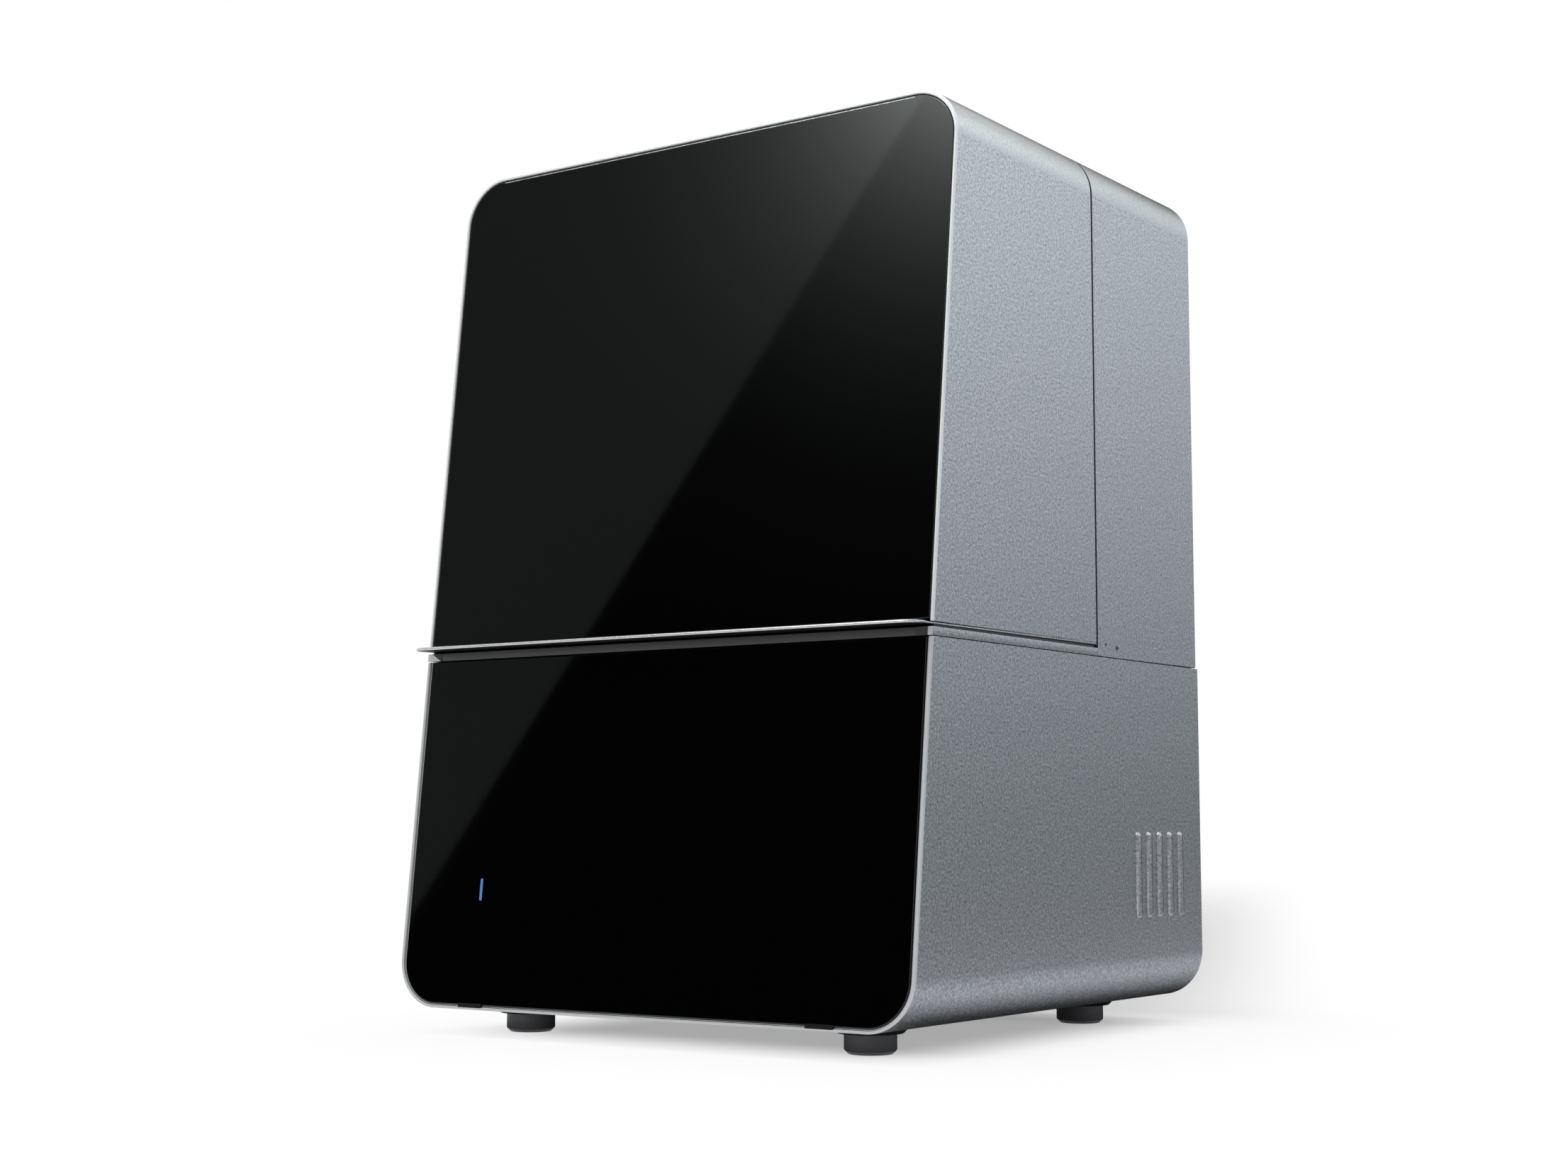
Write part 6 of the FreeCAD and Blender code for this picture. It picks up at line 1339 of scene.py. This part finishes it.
def painted_long_shadow(tree, place):
    """Strength of the white floor, dimmed by a painted soft shadow that runs back from the printer and fades
    out.
    """
    turned = add_node(tree, "ShaderNodeMapping")
    tree.links.new(place, turned.inputs["Vector"])
    turned.inputs["Rotation"].default_value[2] = PAINTED_SHADOW_TURN
    axes = place_axes(tree, turned.outputs["Vector"])
    shade = PAINTED_SHADOW_SHADE
    for axis, limits in PAINTED_SHADOW_SIDES:
        shade = math_node(tree, "MULTIPLY", mapped(tree, axes[axis], limits, "SMOOTHSTEP"), shade)
    return math_node(tree, "SUBTRACT", 1.0, shade)


def floor_material():
    """Matt white near the printer, so that its shadow shows, mixed into white of strength 1 with the distance
    from its footprint. The white is dimmed by a painted long shadow behind the printer."""
    made = bpy.data.materials.new("studio_floor")
    made.use_nodes = True
    tree = made.node_tree
    shader = tree.nodes["Principled BSDF"]
    shader.inputs["Base Color"].default_value = (0.95, 0.95, 0.955, 1.0)
    shader.inputs["Roughness"].default_value = 1.0
    shader.inputs["Specular IOR Level"].default_value = 0.0
    white = add_node(tree, "ShaderNodeEmission")
    place = add_node(tree, "ShaderNodeTexCoord").outputs["Object"]
    tree.links.new(painted_long_shadow(tree, place), white.inputs["Strength"])
    away = vector_node(tree, "ABSOLUTE", vector_node(tree, "SUBTRACT", place, FOOTPRINT_MIDDLE))
    outside = vector_node(tree, "SUBTRACT", away, FOOTPRINT_HALF)
    reach = vector_node(tree, "LENGTH", vector_node(tree, "MAXIMUM", outside, (0.0, 0.0, 0.0)))
    pale = math_node(tree, "ADD", mapped(tree, reach, (0.0, 0.11, 0.38, 0.88), "SMOOTHSTEP"),
                     mapped(tree, reach, (0.11, 0.25, 0.0, 0.12)))
    mix = add_node(tree, "ShaderNodeMixShader")
    tree.links.new(math_node(tree, "MULTIPLY", pale, mirrored_rays(tree)), mix.inputs["Fac"])
    tree.links.new(shader.outputs[0], mix.inputs[1])
    tree.links.new(white.outputs[0], mix.inputs[2])
    tree.links.new(mix.outputs[0], tree.nodes["Material Output"].inputs["Surface"])
    return made


def softbox(power):
    """Square lamp above the printer, turned towards it."""
    lamp = bpy.data.lights.new("overhead_softbox", "AREA")
    lamp.shape = "RECTANGLE"
    lamp.size = lamp.size_y = SOFTBOX_SIZE
    lamp.energy = power
    made = linked("overhead_softbox", lamp)
    made.location = SOFTBOX_PLACE
    made.rotation_euler = Vector((0.0, 0.0, 1.0)).rotation_difference(made.location).to_euler()


def camera_view(settings):
    """Camera at its place, looking along its azimuth and pitch."""
    lens = bpy.data.cameras.new("camera")
    lens.lens = settings.lens
    lens.sensor_width = SENSOR_WIDTH
    level = math.cos(settings.pitch)
    look = Vector((-math.sin(settings.azimuth) * level, math.cos(settings.azimuth) * level,
                   math.sin(settings.pitch)))
    turn = look.to_track_quat("-Z", "Y").to_matrix().to_4x4()
    camera = linked("camera", lens)
    camera.matrix_world = Matrix.Translation(settings.camera_place) @ turn
    bpy.context.scene.camera = camera


def studio():
    """Camera, softbox, cards, floor and white surroundings."""
    scene = bpy.context.scene
    scene.view_settings.view_transform = "Standard"
    white_surroundings()
    floor()
    softbox(scene.printer_studio.key_power)
    cards()
    camera_view(scene.printer_studio)


class PRINTER_OT_base_case(bpy.types.Operator):
    """Base with its rim and vents"""

    bl_idname = "printer.base_case"
    bl_label = "Base case"

    def execute(self, context):
        base_case()
        return {"FINISHED"}


class PRINTER_OT_hood_case(bpy.types.Operator):
    """Hood with its rim"""

    bl_idname = "printer.hood_case"
    bl_label = "Hood case"

    def execute(self, context):
        hood_case()
        return {"FINISHED"}


class PRINTER_OT_housing_case(bpy.types.Operator):
    """Rear housing with its strips, nubs and seals"""

    bl_idname = "printer.housing_case"
    bl_label = "Rear housing"

    def execute(self, context):
        housing_case()
        return {"FINISHED"}


class PRINTER_OT_front_glass(bpy.types.Operator):
    """Lower glass, hood glass with its trim, and indicator bar"""

    bl_idname = "printer.front_glass"
    bl_label = "Front glass"

    def execute(self, context):
        front_glass()
        return {"FINISHED"}


class PRINTER_OT_glass_clips(bpy.types.Operator):
    """Two small black clips in the bottom rim that hold the lower glass"""

    bl_idname = "printer.glass_clips"
    bl_label = "Glass clips"

    def execute(self, context):
        glass_clips()
        return {"FINISHED"}


class PRINTER_OT_grip_lip(bpy.types.Operator):
    """Grip lip under the hood"""

    bl_idname = "printer.grip_lip"
    bl_label = "Grip lip"

    def execute(self, context):
        grip_lip()
        return {"FINISHED"}


class PRINTER_OT_feet(bpy.types.Operator):
    """Rubber feet on tapered black pads"""

    bl_idname = "printer.feet"
    bl_label = "Feet"

    def execute(self, context):
        feet()
        return {"FINISHED"}


class PRINTER_OT_ball_screw(bpy.types.Operator):
    """Screw with its helical ball groove"""

    bl_idname = "printer.ball_screw"
    bl_label = "Ball screw"

    def execute(self, context):
        ball_screw()
        return {"FINISHED"}


class PRINTER_OT_knobs(bpy.types.Operator):
    """Lobed clamp knob on the arm, and the two knurled vat thumbscrews"""

    bl_idname = "printer.knobs"
    bl_label = "Knobs"

    def execute(self, context):
        knobs()
        return {"FINISHED"}


class PRINTER_OT_rail_bolts(bpy.types.Operator):
    """Sunk bolts along both lift rails"""

    bl_idname = "printer.rail_bolts"
    bl_label = "Rail bolts"

    def execute(self, context):
        rail_bolts()
        return {"FINISHED"}


class PRINTER_OT_fan_rotor(bpy.types.Operator):
    """Fan rotor with its hub and blades"""

    bl_idname = "printer.fan_rotor"
    bl_label = "Fan rotor"

    def execute(self, context):
        fan_rotor()
        return {"FINISHED"}


class PRINTER_OT_fan_guard(bpy.types.Operator):
    """Wire guard of the fan"""

    bl_idname = "printer.fan_guard"
    bl_label = "Fan guard"

    def execute(self, context):
        fan_guard()
        return {"FINISHED"}


class PRINTER_OT_remaining_parts(bpy.types.Operator):
    """Every other CAD node, with broken edges where it shows"""

    bl_idname = "printer.remaining_parts"
    bl_label = "Remaining parts"

    def execute(self, context):
        remaining_parts()
        return {"FINISHED"}


class PRINTER_OT_studio(bpy.types.Operator):
    """Camera, softbox, cards, floor and white surroundings"""

    bl_idname = "printer.studio"
    bl_label = "Studio"

    def execute(self, context):
        studio()
        return {"FINISHED"}


OPERATORS = (
    PRINTER_OT_base_case,
    PRINTER_OT_hood_case,
    PRINTER_OT_housing_case,
    PRINTER_OT_front_glass,
    PRINTER_OT_glass_clips,
    PRINTER_OT_grip_lip,
    PRINTER_OT_feet,
    PRINTER_OT_ball_screw,
    PRINTER_OT_knobs,
    PRINTER_OT_rail_bolts,
    PRINTER_OT_fan_rotor,
    PRINTER_OT_fan_guard,
    PRINTER_OT_remaining_parts,
    PRINTER_OT_studio,
)


class PRINTER_PT_panel(bpy.types.Panel):
    """Lists the printer's building steps."""

    bl_label = "Resin printer"
    bl_idname = "PRINTER_PT_panel"
    bl_space_type = "VIEW_3D"
    bl_region_type = "UI"
    bl_category = "Printer"

    def draw(self, context):
        for operator in OPERATORS:
            self.layout.operator(operator.bl_idname)


SETTINGS = {"printer_sizes": PrinterSizes, "printer_finishes": PrinterFinishes,
            "printer_studio": PrinterStudio}
CLASSES = (*SETTINGS.values(), *OPERATORS, PRINTER_PT_panel)


def register():
    """Register the classes and put the settings on the scene."""
    for made in CLASSES:
        bpy.utils.register_class(made)
    for name, group in SETTINGS.items():
        setattr(bpy.types.Scene, name, bpy.props.PointerProperty(type=group))


def unregister():
    """Take the settings off the scene and unregister the classes."""
    for name in SETTINGS:
        delattr(bpy.types.Scene, name)
    for made in reversed(CLASSES):
        bpy.utils.unregister_class(made)


def main():
    """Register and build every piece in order."""
    register()
    for operator in OPERATORS:
        group, name = operator.bl_idname.split(".")
        getattr(getattr(bpy.ops, group), name)()


if __name__ == "__main__":
    main()
